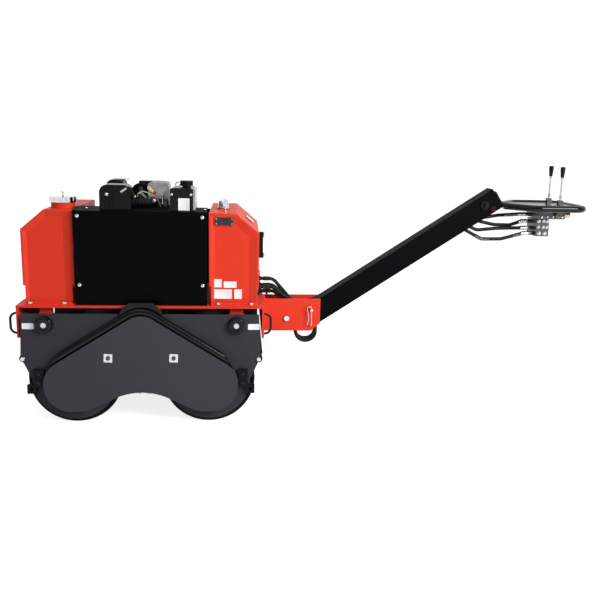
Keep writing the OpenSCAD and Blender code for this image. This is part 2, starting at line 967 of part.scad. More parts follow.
// Folded sheet covers between the tanks: the near one ends in a shoulder, the far one is plain
module near_cover() {
  w = hood_half_w;
  s = w - hood_shoulder;
  top = hood_side_z + hood_rise;
  polygon([
    [-w, hood_bottom], [-w, hood_side_z], [-s, top], [-s, top - hood_t], [hood_t - w, hood_side_z - hood_t / 4],
    [hood_t - w, hood_bottom + hood_t], [hood_foot_w - w, hood_bottom + hood_t], [hood_foot_w - w, hood_bottom]
  ]);
}

module far_cover() {
  w = hood_half_w;
  polygon([
    [w, hood_bottom], [w, hood_far_z], [w - hood_t, hood_far_z], [w - hood_t, hood_bottom + hood_t],
    [w - hood_foot_w, hood_bottom + hood_t], [w - hood_foot_w, hood_bottom]
  ]);
}

module engine_hood() {
  low = hood_side_z - hood_rise;
  plate_w = seat + guard_plate[0];
  color("#121214")
    difference() {
      translate([-hood_l / 2, 0, 0])
        rotate([90, 0, 90])
          linear_extrude(hood_l) {
            near_cover();
            far_cover();
          }
      translate([air_at[0] - hood_clear, air_at[1] - hood_clear, low])
        cube([air_size[0] + 2 * hood_clear, air_size[1], 3 * hood_rise]);
      translate([fuel_at[0] - hood_clear, fuel_at[1] - hood_clear, low])
        cube([fuel_size[0] + plate_w + 2 * hood_clear, fuel_size[1], 3 * hood_rise]);
      cross_pin(0, hood_half_w - hood_foot_w, crank_z, hood_vent_d, 2 * hood_foot_w);
    }
}

// Diesel engine: crankcase on two foot rails
module crankcase() {
  z = deck_z + engine_foot[2];
  color("#3a3a3e")
    difference() {
      union() {
        for (s = [-1, 1])
          translate([-engine_foot[0] / 2, s * engine_foot_y - engine_foot[1] / 2, deck_z])
            cube([engine_foot[0], engine_foot[1], engine_foot[2] + eps]);
        translate([-crankcase_size[0] / 2, -crankcase_size[1] / 2, z])
          cube(crankcase_size);
      }
      cross_pin(0, -crankcase_size[1] / 2 - eps, crank_z, crank_d + 2 * run, crankcase_size[1] + 2 * eps);
    }
}

// Air-cooled cylinder: cast fins on a barrel, the head on top, and its arm under the fuel tank
module finned_cylinder() {
  color("#8d8f92") {
    translate([0, 0, case_top_z])
      cylinder(h = fin_count * fin_pitch, d = barrel_d);
    for (i = [0:fin_count - 1])
      translate([-fin_size[0] / 2, -fin_size[1] / 2, case_top_z + (i + 0.5) * fin_pitch - fin_t / 2])
        cube([fin_size[0] - (i % 2) * fin_t, fin_size[1], fin_t]);
    translate([-head_left, -head_front, head_bottom_z])
      cube(head_size);
    translate([head_size[0] - head_left - eps, tank_arm_y, fuel_z - tank_arm[2]])
      cube([tank_arm[0] + eps, tank_arm[1], tank_arm[2]]);
    translate([throttle_at[0] - throttle_post[0] / 2, throttle_at[1] + seat, head_top_z - eps])
      cube(throttle_post);
  }
}

module rounded_top_box(size, r) {
  slab(0, size[1])
    polygon(rounded([[0, 0], [size[0], 0], [size[0], size[2]], [0, size[2]]], [0, 0, r, r]));
}

module rocker_cover() {
  color("#c9cbcd")
    translate([rocker_at[0] - rocker_size[0] / 2, rocker_at[1], head_top_z + seat])
      difference() {
        union() {
          rounded_top_box(rocker_size, rocker_r);
          translate([rocker_size[0] * rib_inset_share, -rocker_rib_t, 0])
            rounded_top_box([rocker_size[0] * (1 - 2 * rib_inset_share), rocker_rib_t + eps,
              rocker_size[2] - rocker_r], rocker_r / 2);
        }
        for (i = [1:rocker_rib_count])
          translate([-eps, i * rocker_size[1] / (rocker_rib_count + 1), rocker_size[2] - rocker_rib_t])
            cube([rocker_size[0] + 2 * eps, rocker_rib_t, rocker_size[2]]);
      }
}

module air_shroud() {
  l = top_plate[0];
  t = top_plate[2];
  color("#1b1b1e")
    translate([0, 0, head_top_z + seat]) {
      translate([air_shroud_at[0], air_shroud_at[1], 0])
        rounded_top_box(air_shroud_size, air_shroud_r);
      translate([top_plate_at[0], 0, air_shroud_size[2] - top_plate_sink])
        slab(top_plate_at[1], top_plate[1])
          polygon([
            [0, 0], [l - t, 0], [l + top_plate_end[0] - t, -top_plate_end[1]],
            [l + top_plate_end[0], -top_plate_end[1]], [l, t], [0, t]
          ]);
    }
}

// Flywheel shroud and recoil starter housing as one sheet pressing, with the rope's hole
module recoil_housing() {
  y0 = crankcase_size[1] / 2;
  color("#26262a")
    difference() {
      union() {
        cross_pin(0, y0, crank_z, 2 * shroud_r, shroud_l);
        cross_pin(0, y0 + shroud_l - eps, crank_z, 2 * recoil_r, recoil_l + eps);
      }
      cross_pin(0, y0 - eps, crank_z, 2 * (shroud_r - shroud_t), shroud_l - shroud_t + eps);
      cross_pin(0, y0 + shroud_l - 2 * shroud_t, crank_z, 2 * (recoil_r - shroud_t), recoil_l + shroud_t);
      cross_pin(0, y0 + shroud_l, crank_z + grip_up, grip_stem[0] + 2 * seat, recoil_l + 2 * eps);
    }
}

module flywheel() {
  y0 = crankcase_size[1] / 2;
  shaft_from = -y0 - crank_in_pump;
  wheel_from = y0 + flywheel_gap;
  color("#9a9c9f") {
    cross_pin(0, shaft_from, crank_z, crank_d, wheel_from - shaft_from + flywheel_l);
    cross_pin(0, wheel_from, crank_z, 2 * flywheel_r, flywheel_l);
  }
}

module starter_grip() {
  y = crankcase_size[1] / 2 + shroud_l + recoil_l + seat;
  color("#17171a") {
    translate([-grip_size[0] / 2, y, crank_z + grip_up - grip_size[2] / 2])
      slab_box(grip_size);
    cross_pin(0, y - grip_stem[1], crank_z + grip_up, grip_stem[0], grip_stem[1] + eps);
  }
}

module slab_box(size) {
  slab(0, size[1])
    polygon(rounded([[0, 0], [size[0], 0], [size[0], size[2]], [0, size[2]]], same(4, size[0] / 3)));
}

module hydraulic_pump() {
  y = -crankcase_size[1] / 2;
  color("#77797c")
    difference() {
      translate([-pump_size[0] / 2, y - pump_size[1], crank_z - pump_size[2] / 2])
        slab_box(pump_size);
      cross_pin(0, y - 2 * crank_in_pump, crank_z, crank_d + 2 * run, 2 * crank_in_pump + eps);
    }
}

module muffler() {
  z = head_top_z - muffler_drop;
  color("#4a4643")
    translate([muffler_at[0], muffler_at[1], z]) {
      rounded_top_box(muffler_size, muffler_r);
      translate([muffler_size[0] - eps, 0, 0])
        cube([-head_left - muffler_at[0] - muffler_size[0] + eps, muffler_flange[0], muffler_flange[1]]);
    }
}

module air_cleaner() {
  color("#161618")
    translate([air_at[0], air_at[1], air_z]) {
      difference() {
        rounded_top_box(air_size, air_r);
        for (i = [0:air_slot_count - 1])
          translate([air_slot_at[0] + i * air_slot_pitch, -eps, air_slot_at[1]])
            cube([air_slot[0], air_slot[1] + eps, air_slot[2]]);
      }
      translate([-head_left - air_at[0] - air_duct[0], air_size[1] - eps, eps])
        cube([air_duct[0], air_duct[1] + eps, air_duct[2]]);
    }
}

module fuel_tank() {
  color("#141416")
    difference() {
      union() {
        translate([fuel_at[0], fuel_at[1], fuel_z])
          rounded_top_box(fuel_size, fuel_r);
        translate([fuel_at[0] + fuel_cap_at[0], fuel_at[1] + fuel_cap_at[1], fuel_z + fuel_size[2] - eps])
          cylinder(h = fuel_neck_h + eps, d = fuel_neck_d);
      }
      translate([fuel_at[0] + neck_wall, fuel_at[1] + neck_wall, fuel_z + neck_wall])
        cube([for (v = fuel_size) v - 2 * neck_wall]);
      translate([fuel_at[0] + fuel_cap_at[0], fuel_at[1] + fuel_cap_at[1], fuel_z + fuel_size[2] / 2])
        cylinder(h = fuel_size[2], d = fuel_neck_d - 2 * neck_wall);
    }
}

module fuel_cap() {
  spigot_d = fuel_neck_d - 2 * (neck_wall + spigot_clear);
  color("#101012")
    translate([fuel_at[0] + fuel_cap_at[0], fuel_at[1] + fuel_cap_at[1], fuel_z + fuel_size[2] + fuel_neck_h + seat])
      union() {
        difference() {
          cylinder(h = fuel_cap_h, d = fuel_cap_d);
          for (i = [0:fuel_cap_rib_count - 1])
            rotate(i * 360 / fuel_cap_rib_count)
              translate([fuel_cap_d / 2, 0, -eps])
                cylinder(h = fuel_cap_h - neck_wall, d = fuel_cap_rib_d);
        }
        translate([0, 0, -spigot_h])
          cylinder(h = spigot_h + eps, d = spigot_d);
      }
}

// Injection pipe, and the heat plate beside the fuel tank
module engine_pipes() {
  color("#b9bbbd") {
    bent_bar(pipe_run, pipe_d, [0, pipe_r, pipe_r, 0]);
    translate([fuel_at[0] + fuel_size[0] + seat, fuel_at[1] + fuel_r, fuel_z])
      cube(guard_plate);
  }
}

module lever_bar(l, w, t) {
  translate([0, -t / 2, -w / 2])
    cube([l, t, w]);
}

module throttle_lever() {
  color("#2b2b2e")
    translate(throttle_at) {
      cross_pin(0, -throttle_boss[1], 0, throttle_boss[0], throttle_boss[1]);
      for (i = [0, 1])
        translate([0, -throttle_boss[1] / 2, 0])
          rotate([0, -throttle_angles[i], 0])
            lever_bar(throttle_arms[i], lever_w, lever_t);
    }
}

module decompression_lever() {
  x = rocker_at[0] + decomp_up[0];
  y = rocker_at[1] - rocker_rib_t - seat;
  z = head_top_z + decomp_up[1];
  color("#efe2bd")
    translate([x, y, z]) {
      cross_pin(0, -decomp_boss[1], 0, decomp_boss[0], decomp_boss[1]);
      translate([0, -decomp_boss[1] / 2, 0])
        rotate([0, -decomp_angle, 0])
          lever_bar(decomp_len, lever_w, lever_t);
    }
}

// Closed path of a band round wheels, given with the wheels' centres and signed radii
function run_angle(a, b, ra, rb) = atan2(b[1] - a[1], b[0] - a[0]) + asin((ra - rb) / norm(b - a));
function band_path(cs, rs) =
  let (
    n = len(cs),
    dirs = [for (i = [0:n - 1]) run_angle(cs[i], cs[(i + 1) % n], rs[i], rs[(i + 1) % n])]
  )
  [for (i = [0:n - 1])
    let (
      d0 = dirs[(i + n - 1) % n],
      d1 = dirs[i],
      sweep = rs[i] > 0 ? (d1 - d0 + 720) % 360 : -((d0 - d1 + 720) % 360),
      steps = ceil(abs(sweep) / arc_step_angle)
    )
    for (k = [0:steps])
      cs[i] + rs[i] * [cos(d0 - 90 + sweep * k / steps), sin(d0 - 90 + sweep * k / steps)]];

module band(w) {
  cs = [[half_base, axle_z], [0, drive_top_z], [-half_base, axle_z], [0, idler_z]];
  slab(band_y - w / 2, w)
    difference() {
      polygon(band_path(cs, [drive_wheel_r + band_t, drive_top_r + band_t, drive_wheel_r + band_t, -idler_r]));
      polygon(band_path(cs, [drive_wheel_r, drive_top_r, drive_wheel_r, -idler_r - band_t]));
    }
}

module drive_chain() {
  color("#6b6d70")
    mirror([0, 1, 0])
      band(chain_w);
}

module vibration_belt() {
  color("#202023")
    band(belt_w);
}

// Fixed slide shoes that press the chain and the belt up over the case's valley
module tensioners() {
  r = idler_r - 2 * seat;
  color("#d8d4c6")
    both_sides()
      difference() {
        cross_pin(0, side_out, idler_z, 2 * r, band_y + belt_w / 2 - side_out);
        translate([-idler_r, side_out - eps, idler_z - idler_r - eps])
          cube([2 * idler_r, case_depth, idler_r]);
      }
}

module drum_bearings() {
  color("#8a8c8f")
    both_sides()
      for (x = [-half_base, half_base])
        difference() {
          cross_pin(x, side_in + (side_t - bearing_w) / 2, axle_z, bearing_od, bearing_w);
          cross_pin(x, side_in - bearing_w, axle_z, journal_d + 2 * run, 3 * bearing_w);
        }
}

module drive_motors() {
  color("#2e3033")
    both_sides()
      difference() {
        union() {
          cross_pin(0, side_in - motor_flange[1] - motor_l, drive_top_z, motor_d, motor_l + eps);
          slab(side_in - motor_flange[1], motor_flange[1])
            translate([-motor_flange[0] / 2, drive_top_z - motor_flange[0] / 2])
              square(motor_flange[0]);
          cross_pin(0, side_in - eps, drive_top_z, motor_pilot_d, side_t + eps);
        }
        cross_pin(0, side_out - motor_shaft_in - eps, drive_top_z, motor_shaft_d + 2 * run,
          motor_shaft_in + 2 * eps);
      }
}

// Turned pieces about a cross axis at x, z; the drawing's second value runs towards the near side
module spun(x, z) {
  translate([x, 0, z])
    rotate([90, 0, 0])
      rotate_extrude()
        children();
}

module drum(x) {
  r = drum_d / 2;
  ri = r - drum_wall;
  w = drum_w / 2;
  d1 = w - disc_recess;
  d0 = d1 - disc_t;
  hole = weight_r + hub_bore_clear;
  c = edge_chamfer;
  spun(x, axle_z)
    polygon([
      [r - c, -w], [r, c - w], [r, w - c], [r - c, w], [ri, w], [ri, d1], [hole, d1], [hole, d0],
      [ri, d0], [ri, -d0], [hole, -d0], [hole, -d1], [ri, -d1], [ri, -w]
    ]);
}

module front_drum() {
  color("#2b2b2e")
    drum(-half_base);
}

module rear_drum() {
  color("#2b2b2e")
    drum(half_base);
}

// Hub flanges with hollow journals; the near journal carries the chain wheel
module hub_profile(end, wheel) {
  f0 = drum_w / 2 - disc_recess + seat;
  f1 = f0 + hub_flange_t;
  r0 = exciter_d / 2 + run;
  r1 = exciter_d / 2 + hub_bore_clear;
  rj = journal_d / 2;
  rw = wheel ? drive_wheel_r - 2 * seat : rj;
  w0 = wheel ? band_y - wheel_w / 2 : f1 + wheel_w;
  w1 = w0 + (wheel ? wheel_w : eps);
  polygon([
    [r0, f0], [hub_flange_d / 2, f0], [hub_flange_d / 2, f1], [rj, f1], [rj, w0], [rw, w0], [rw, w1],
    [rj, w1], [rj, end], [r1, end], [r1, f0 + exciter_bearing_w], [r0, f0 + exciter_bearing_w]
  ]);
}

module hub_pair(x) {
  bolt_y = drum_w / 2 - disc_recess + seat + hub_flange_t;
  bolt_r = (weight_r + hub_bore_clear + hub_flange_d / 2) / 2;
  spun(x, axle_z)
    hub_profile(journal_end, true);
  mirror([0, 1, 0])
    spun(x, axle_z)
      hub_profile(far_journal_end, false);
  both_sides()
    for (i = [0:hub_bolt_count - 1])
      translate([x, -bolt_y + eps, axle_z])
        rotate([90, i * 360 / hub_bolt_count, 0])
          translate([bolt_r, 0, 0])
            hex_bolt(drain_d, drain_h);
}

module front_hubs() {
  color("#77787b")
    hub_pair(-half_base);
}

module rear_hubs() {
  color("#77787b")
    hub_pair(half_base);
}

module pulley_profile(r, shaft_r, end) {
  w = belt_w / 2;
  polygon([
    [0, band_y + w + seat + lip_t], [r + wheel_lip, band_y + w + seat + lip_t],
    [r + wheel_lip, band_y + w + seat], [r, band_y + w + seat], [r, band_y - w - seat],
    [r + wheel_lip, band_y - w - seat], [r + wheel_lip, band_y - w - seat - lip_t],
    [shaft_r, band_y - w - seat - lip_t], [shaft_r, end], [0, end]
  ]);
}

// Exciter: shaft through both hubs with a half-round weight, driven by its pulley on the far side
module exciter(x) {
  near_end = drum_w / 2 - disc_recess + exciter_bearing_w;
  mirror([0, 1, 0])
    spun(x, axle_z)
      pulley_profile(drive_wheel_r - 2 * seat, exciter_d / 2, -near_end);
  translate([x, 0, axle_z])
    rotate([90, 180, 0])
      rotate_extrude(angle = 180)
        translate([0, -weight_l / 2])
          square([weight_r, weight_l]);
}

module front_exciter() {
  color("#8f9194")
    exciter(-half_base);
}

module rear_exciter() {
  color("#8f9194")
    exciter(half_base);
}

module motor_pulley() {
  color("#8f9194")
    mirror([0, 1, 0])
      spun(0, drive_top_z)
        pulley_profile(drive_top_r - 2 * seat, motor_shaft_d / 2, side_out - motor_shaft_in);
}

module drive_sprocket() {
  r = drive_top_r - 2 * seat;
  color("#8f9194")
    spun(0, drive_top_z)
      polygon([
        [0, side_out - motor_shaft_in], [motor_shaft_d / 2, side_out - motor_shaft_in],
        [motor_shaft_d / 2, band_y - wheel_w / 2], [r, band_y - wheel_w / 2], [r, band_y + wheel_w / 2],
        [0, band_y + wheel_w / 2]
      ]);
}

// Hitch at the machine's rear: mounting plate and two side plates with the holes for bolt and pin
module hitch_box() {
  x0 = deck_end;
  lock = [hinge_x + lock_at[0], hinge_z + lock_at[1]];
  color("#f0483a")
    difference() {
      union() {
        translate([x0, -hitch_in - hitch_t, hitch_z[0]])
          cube([hitch_t, 2 * (hitch_in + hitch_t), hitch_z[1] - hitch_z[0]]);
        both_sides()
          slab(hitch_in, hitch_t)
            polygon([
              [x0, hitch_z[0]], [hitch_end - hitch_chamfer[0], hitch_z[0]],
              [hitch_end, hitch_z[0] + hitch_chamfer[1]], [hitch_end, hitch_z[1]], [x0, hitch_z[1]]
            ]);
      }
      cross_pin(hinge_x, -2 * hitch_in, hinge_z, pivot_d + 2 * run, 4 * hitch_in);
      cross_pin(lock[0], -2 * hitch_in, lock[1], lock_d + 2 * lock_clear, 4 * hitch_in);
    }
}

module pivot_bolt() {
  w = hitch_in + hitch_t;
  color("#dfe3e6") {
    cross_pin(hinge_x, -w - eps, hinge_z, pivot_d, 2 * (w + eps));
    both_sides()
      translate([hinge_x, -w, hinge_z])
        rotate([90, 0, 0])
          hex_bolt(pivot_head_d, pivot_head_h);
  }
}

module lock_pin() {
  w = hitch_in + hitch_t;
  y = -w - lock_stick;
  x = hinge_x + lock_at[0];
  z = hinge_z + lock_at[1];
  yc = y + lock_groove;
  color("#dfe3e6") {
    cross_pin(x, y, z, lock_d, 2 * w + lock_stick + lock_far);
    bent_bar(
      [[x, yc, z - clip_leg], [x, yc, z + clip_loop[1]], [x - clip_loop[0], yc, z + clip_loop[1]],
        for (w = clip_wave) [x - w[0], yc, z - w[1]]],
      clip_d, [0, clip_r, clip_r, clip_r, 0]
    );
  }
}

// Bulkhead bracket on the deck with the four fittings where the handle's hoses start
module hose_fittings() {
  color("#c6c9cc") {
    translate([port_x - bulkhead[0], -bulkhead[1] / 2, deck_z])
      cube(bulkhead);
    for (i = [0:3])
      translate([port_x - eps, hose_ys[i], hose_start_zs[i]])
        rotate([0, 90, 0]) {
          cylinder(h = port_fitting[0] - seat + eps, d = hose_d - 2 * seat);
          hex_bolt(port_fitting[2], port_fitting[1]);
        }
  }
}

// Point of the beam's side view at s along the beam from the knee and n above its centre line
function on_beam(s, n) = knee + beam_u * s + beam_n * n;

module beam_slab(y, t, s0, s1, n0, n1) {
  slab(y, t)
    polygon([on_beam(s0, n0), on_beam(s1, n0), on_beam(s1, n1), on_beam(s0, n1)]);
}

function arc_band(c, r0, r1, a0, a1) =
  let (n = ceil(abs(a1 - a0) / (arc_step_angle / 2)))
  [
    for (i = [0:n]) c + r1 * [cos(a0 + (a1 - a0) * i / n), sin(a0 + (a1 - a0) * i / n)],
    for (i = [0:n]) c + r0 * [cos(a1 + (a0 - a1) * i / n), sin(a1 + (a0 - a1) * i / n)]
  ];

// Steering handle: two root plates about the hinge, then a closed rectangular tube
module handle_beam() {
  h = beam_h / 2;
  w = beam_w / 2;
  j = root_join;
  top = h - root_plate_t;
  hinge = [hinge_x, hinge_z];
  edge = on_beam(j, h) - hinge - [0, root_r];
  flange = hinge + [0, root_r] + edge * root_flange_x / edge[0];
  past = 2 * root_r;
  lock_r = norm(lock_at);
  lock_angle = atan2(lock_at[1], lock_at[0]);
  pin_r = lock_d / 2 + lock_clear;
  slot_half = pin_r - seam_gap;
  sw = on_beam(beam_l - switch_back[0], switch_back[1]);
  bt = on_beam(beam_l - button_back[0], button_back[1]);
  color("#121214")
    difference() {
      union() {
        difference() {
          slab(-w, beam_w) {
            translate(hinge)
              circle(r = root_r);
            polygon([
              hinge + [0, root_r - seam_gap], hinge - [0, root_r - seam_gap], on_beam(-j, -h),
              on_beam(beam_l, -h), on_beam(beam_l, h), on_beam(j, h)
            ]);
          }
          slab(root_plate_t - w, beam_w - 2 * root_plate_t)
            polygon([
              hinge + [-past, past], [flange[0], hinge_z + past], flange - [0, root_plate_t],
              on_beam(j, top), on_beam(2 * tube_from + eps, top), on_beam(2 * tube_from + eps, -top),
              on_beam(tube_from, -top), on_beam(tube_from, -past), hinge - [past, past]
            ]);
          beam_slab(beam_t - w, beam_w - 2 * beam_t, 2 * tube_from, beam_l - beam_t, beam_t - h, h - beam_t);
          beam_slab(-hose_exit[2] / 2, hose_exit[2], hose_exit[0], hose_exit[1], -h - eps, 2 * beam_t - h);
        }
        cross_pin(hinge_x, -w, hinge_z, sleeve_d, beam_w);
        cross_pin(sw[0], -w - button_base_h, sw[1], switch_d, button_base_h + eps);
        cross_pin(bt[0], -w - button_base_h, bt[1], button_base_d, button_base_h + eps);
      }
      cross_pin(hinge_x, -w - eps, hinge_z, pivot_d + 2 * run, beam_w + 2 * eps);
      cross_pin(bt[0], -w - 2 * button_base_h, bt[1], button_d + 2 * seat, 3 * button_base_h + beam_t);
      slab(-w - eps, beam_w + 2 * eps) {
        polygon(arc_band(hinge, lock_r - slot_half, lock_r + slot_half, lock_angle, lock_angle - slot_sweep_angle));
        translate(hinge + lock_at)
          circle(r = pin_r);
      }
    }
}

// Head: one bent tube loop with the console plate, cut flush at the beam's end
module head_frame() {
  a = [end_x - head_neck[0], head_start_half];
  b = [end_x + head_neck[0], head_start_half];
  c = [b[0] + head_neck[1], head_half];
  in = console_in;
  slope = (head_half - head_start_half) / head_neck[1];
  color("#141416")
    difference() {
      union() {
        bent_bar(
          [[a[0], -a[1], head_z], [b[0], -b[1], head_z], [c[0], -c[1], head_z], [grip_x, -head_half, head_z],
            [grip_x, head_half, head_z], [c[0], c[1], head_z], [b[0], b[1], head_z], [a[0], a[1], head_z]],
          grip_d,
          [0, head_bend_r, head_bend_r, head_corner_r, head_corner_r, head_bend_r, head_bend_r, 0]
        );
        translate([0, 0, console_z])
          linear_extrude(console_t)
            polygon([
              [b[0] + in, -b[1]], [c[0], in - c[1]], [grip_x - in - head_corner_r / 2, in - head_half],
              [grip_x - in, in + head_corner_r / 2 - head_half], [grip_x - in, head_half - in - head_corner_r / 2],
              [grip_x - in - head_corner_r / 2, head_half - in], [c[0], c[1] - in], [b[0] + in, b[1]]
            ]);
        beam_slab(-beam_w / 2, beam_w, beam_l, beam_l + end_lip[0], end_lip[2], end_lip[1]);
      }
      beam_slab(-beam_w, 2 * beam_w, beam_l - beam_h, beam_l + seat, -beam_h, beam_h);
      for (y = [-lever_half, lever_half])
        translate([grip_x - lever_x - lever_slot[0] / 2, y - lever_slot[1] / 2, console_z - eps])
          cube([lever_slot[0], lever_slot[1], console_t + 2 * eps]);
    }
}

// Valve block under the head with the levers' clevises, the manifold, the relief valve and fittings
module valve_block() {
  px = grip_x - lever_x;
  low = valve_top - valve_size[2];
  color("#b9bcbf")
    difference() {
      union() {
        translate([valve_x0, -valve_size[1] / 2, low])
          cube(valve_size);
        for (x = [valve_stud_in[0], valve_size[0] - valve_stud_in[0]], y = [-1, 1])
          translate([valve_x0 + x, y * (valve_size[1] / 2 - valve_stud_in[1]), valve_top - eps])
            cylinder(h = console_z - valve_top + eps - seat, d = valve_stud_d);
        for (s = [-1, 1])
          translate([px, s * lever_half, 0]) {
            for (e = [-1, 1])
              translate([-clevis_l / 2, e * (lever_boss_w / 2 + clevis_gap + clevis_t / 2) - clevis_t / 2,
                valve_top - eps])
                cube([clevis_l, clevis_t, lever_z + clevis_l / 2 - valve_top]);
            cross_pin(0, -lever_boss_w, lever_z, lever_pin_d, 2 * lever_boss_w);
          }
        translate([valve_x0, -manifold_size[1] / 2, manifold_top - manifold_size[2]])
          cube(manifold_size);
        translate([valve_x0 + manifold_in / 2, -manifold_in, manifold_top - eps])
          cube([manifold_in, 2 * manifold_in, manifold_gap + 2 * eps]);
        translate([valve_x0 + valve_size[0] - eps, -lever_half, valve_top - valve_size[2] / 2])
          rotate([0, 90, 0])
            cylinder(h = relief_l, d = relief_d);
        cross_pin(px - relief_cap_back, -valve_size[1] / 2 - relief_cap_l, valve_top - valve_size[2] / 2,
          relief_cap_d, relief_cap_l + eps);
        for (i = [0:3])
          translate([valve_x0 + eps, hose_ys[i], valve_top - port_downs[i]])
            rotate([0, -90, 0]) {
              cylinder(h = fitting_l - seat + eps, d = hose_d);
              hex_bolt(fitting_d, fitting_nut_l);
            }
      }
    }
}

// Control lever: boss, rod and tail in one piece, with a knob on top
module control_lever(y) {
  translate([grip_x - lever_x, y, lever_z])
    difference() {
      union() {
        cross_pin(0, -lever_boss_w / 2, 0, lever_boss_d, lever_boss_w);
        cylinder(h = lever_h - knob_l - seat, d = lever_rod_d);
        cylinder(h = lever_h - knob_l + knob_l / 3, d = lever_rod_d * stub_share);
        translate([0, 0, -lever_tail])
          cylinder(h = lever_tail, d = lever_rod_d);
      }
      cross_pin(0, -lever_boss_w, 0, lever_pin_d + 2 * run, 2 * lever_boss_w);
    }
}

module lever_knob(y) {
  translate([grip_x - lever_x, y, lever_z + lever_h - knob_l])
    rotate_extrude()
      polygon([
        [lever_rod_d * stub_share / 2 + seat, 0], [knob_tip_d / 2, 0], [knob_d / 2, knob_l - edge_chamfer],
        [knob_d / 2 - edge_chamfer, knob_l], [0, knob_l], [0, knob_l / 3 + seat],
        [lever_rod_d * stub_share / 2 + seat, knob_l / 3 + seat]
      ]);
}

module travel_lever() {
  color("#d5d8da")
    control_lever(-lever_half);
}

module travel_knob() {
  color("#151517")
    lever_knob(-lever_half);
}

module vibration_lever() {
  color("#d5d8da")
    control_lever(lever_half);
}

module vibration_knob() {
  color("#151517")
    lever_knob(lever_half);
}

module stop_button() {
  p = on_beam(beam_l - button_back[0], button_back[1]);
  y = -beam_w / 2 - button_base_h;
  color("#6e1f1c")
    cross_pin(p[0], y - button_h / 2, p[1], button_d, button_h);
}

module key_switch() {
  p = on_beam(beam_l - switch_back[0], switch_back[1]);
  y = -beam_w / 2 - button_base_h - seat;
  color("#1a1a1c") {
    cross_pin(p[0], y - switch_h / 2, p[1], switch_d * knob_share, switch_h / 2);
    translate([p[0] - switch_key[0] / 2, y - switch_h / 2 - switch_key[1], p[1] - switch_key[2] / 2])
      cube([switch_key[0], switch_key[1] + eps, switch_key[2]]);
  }
}

// Hoses from the bulkhead down through the hitch and round under it to the beam
module hitch_hoses() {
  color("#151517")
    for (i = [0:3])
      bent_bar(
        [[port_x + port_fitting[0], hose_ys[i], hose_start_zs[i]], [hose_over_x, hose_ys[i], hose_start_zs[i]],
          for (p = hose_low) [p[0], hose_ys[i], p[1]]],
        hose_d, same(len(hose_low) + 2, hose_r)
      );
}

// Hoses inside the beam, out through its underside and on to the valve's ports
module head_hoses() {
  last = hose_low[len(hose_low) - 1];
  up_s = (last[0] - knee[0]) / cos(beam_angle);
  port = valve_x0 - fitting_l;
  color("#151517")
    for (i = [0:3]) {
      y = hose_ys[i];
      up = on_beam(up_s, 0);
      turn = on_beam((head_hose_turn_xs[i] + hose_shift - knee[0]) / cos(beam_angle), 0);
      z = valve_top - port_downs[i];
      bent_bar(
        [[last[0], y, last[1] + seat], [up[0], y, up[1]], [turn[0], y, turn[1]],
          [head_hose_lows[i][0] + hose_shift, y, head_hose_lows[i][1]],
          [head_hose_mids[i][0] + hose_shift, y, head_hose_mids[i][1]],
          [port - hose_fit_l, y, z], [port, y, z]],
        hose_d, same(7, head_hose_r)
      );
    }
}

// Moves the machine so that its middle stands at the origin
module about_middle() {
  translate([-mid_x, 0, 0])
    children();
}

about_middle() base_frame();
about_middle() side_plates();
about_middle() cross_tubes();
about_middle() frame_bolts();
about_middle() rubber_buffers();
about_middle() chain_case();
about_middle() belt_case();
about_middle() case_plugs();
about_middle() guard_bars();
about_middle() tie_down_loops();
about_middle() scrapers();
about_middle() tensioners();
about_middle() water_tank();
about_middle() oil_tank();
about_middle() level_gauge();
about_middle() engine_hood();
about_middle() crankcase();
about_middle() finned_cylinder();
about_middle() rocker_cover();
about_middle() air_shroud();
about_middle() recoil_housing();
about_middle() muffler();
about_middle() air_cleaner();
about_middle() fuel_tank();
about_middle() engine_pipes();
about_middle() hydraulic_pump();
about_middle() drive_motors();
about_middle() drum_bearings();
about_middle() drive_chain();
about_middle() vibration_belt();
about_middle() hitch_box();
about_middle() pivot_bolt();
about_middle() hose_fittings();
about_middle() front_drum();
about_middle() front_hubs();
about_middle() rear_drum();
about_middle() rear_hubs();
about_middle() drive_sprocket();
about_middle() front_exciter();
about_middle() rear_exciter();
about_middle() motor_pulley();
about_middle() flywheel();
about_middle() starter_grip();
about_middle() throttle_lever();
about_middle() decompression_lever();
about_middle() water_cap();
about_middle() breather_cap();
about_middle() fuel_cap();
about_middle() handle_beam();
about_middle() head_frame();
about_middle() valve_block();
about_middle() travel_lever();
about_middle() travel_knob();
about_middle() vibration_lever();
about_middle() vibration_knob();
about_middle() stop_button();
about_middle() key_switch();
about_middle() lock_pin();
about_middle() hitch_hoses();
about_middle() head_hoses();
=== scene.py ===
import math

import bmesh
import bpy
from mathutils import Matrix, Vector


